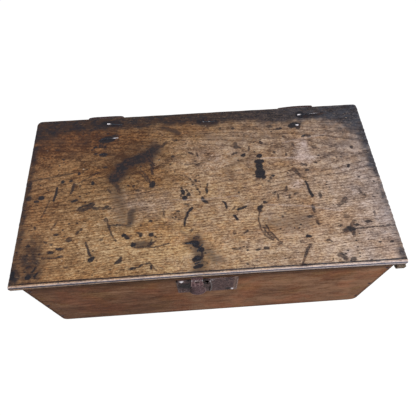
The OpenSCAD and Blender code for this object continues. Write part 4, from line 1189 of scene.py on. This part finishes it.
forged_nodes = [(node, *finish) for nodes, *finish in FORGED for node in nodes]
for seed, (node, material, cell, arris, dent) in enumerate(forged_nodes, FIRST_SEED):
    side = node.split("_")[0]
    hinged = side in ("left", "right") and not node.endswith("nails")
    shape = worn_barrel(side) if hinged else None
    worked(node, material, (cell, cell, cell), arris, dent, FORGED_DENTS, seed, shape)


# ---------- floor, light and camera ----------

CAMERA_PLACE = (-0.01546, -0.38491, 0.83012)  # m
CAMERA_TURNS = (-3.31, 61.21, -0.70)          # azimuth, elevation and roll in degrees
CAMERA_LENS = 33.54                           # mm, with a sensor 36 mm wide
LAMP_AIM = 0.15                               # height in m that the lamps are turned to


def seen_rays(net):
    """1 for rays that see the backdrop: straight, in a reflection or through something clear."""
    rays = net.node("ShaderNodeLightPath").outputs
    seen = net.larger(rays["Is Camera Ray"], rays["Is Glossy Ray"])
    return net.larger(seen, rays["Is Transmission Ray"])


FLOOR_HALF = 4  # m


def make_floor():
    """A matt floor that is drawn nearly white, but lights the box like a grey one."""
    half = FLOOR_HALF
    corners = [(-half, -half, 0), (half, -half, 0), (half, half, 0), (-half, half, 0)]
    floor = new_object("floor", corners, [(0, 1, 2, 3)])
    material = bpy.data.materials.new("pale_floor")
    net = empty_net(material)
    plain = net.node("ShaderNodeBsdfDiffuse", {"Color": (0.8, 0.8, 0.8, 1)})
    glow = net.node("ShaderNodeEmission", {"Color": (1, 1, 1, 1), "Strength": 1.1})
    share = net.times(seen_rays(net), 0.86)
    both = net.node("ShaderNodeMixShader", {0: share, 1: plain.outputs[0], 2: glow.outputs[0]})
    net.node("ShaderNodeOutputMaterial", {"Surface": both.outputs[0]})
    floor.data.materials.append(material)


def make_world():
    """A white backdrop that lights the box like a soft pale blue sky."""
    world = bpy.data.worlds.new("studio")
    bpy.context.scene.world = world
    net = empty_net(world)
    soft = net.node("ShaderNodeBackground", {"Color": (0.92, 0.96, 1.0, 1), "Strength": 0.55})
    white = net.node("ShaderNodeBackground", {"Color": (1, 1, 1, 1), "Strength": 1.0})
    both = net.node("ShaderNodeMixShader", {0: seen_rays(net), 1: soft.outputs[0], 2: white.outputs[0]})
    net.node("ShaderNodeOutputWorld", {"Surface": both.outputs[0]})


def make_lamp(name, place, size, watts, colour):
    """A round lamp turned to the middle of the box."""
    data = bpy.data.lights.new(name, "AREA")
    data.shape = "DISK"
    data.size = size
    data.energy = watts
    data.color = colour
    lamp = add_object(name, data)
    lamp.location = place
    lamp.rotation_euler = (Vector((0, 0, LAMP_AIM)) - Vector(place)).to_track_quat("-Z", "Y").to_euler()


def make_camera():
    """Looks down at the front from a little left of the middle."""
    azimuth, elevation, roll = (math.radians(turn) for turn in CAMERA_TURNS)
    level = math.cos(elevation)
    back = Vector((math.sin(azimuth) * level, -math.cos(azimuth) * level, math.sin(elevation)))
    right = (-back).cross(Vector((0, 0, 1))).normalized()
    up = right.cross(-back)
    c, s = math.cos(roll), math.sin(roll)
    right, up = c * right + s * up, c * up - s * right
    data = bpy.data.cameras.new("camera")
    data.sensor_fit = "HORIZONTAL"
    data.sensor_width = 36.0
    data.lens = CAMERA_LENS
    data.clip_start, data.clip_end = 0.01, 20
    camera = add_object("camera", data)
    turn = Matrix((right, up, back)).transposed().to_4x4()
    camera.matrix_world = Matrix.Translation(CAMERA_PLACE) @ turn
    bpy.context.scene.camera = camera


make_floor()
make_world()
make_lamp("key", (0.75, -0.65, 1.6), 0.8, 19, (1.0, 0.97, 0.93))
make_lamp("fill", (-1.2, 0.3, 1.4), 1.2, 7, (0.93, 0.96, 1.0))
make_camera()
bpy.context.scene.view_settings.view_transform = "Standard"
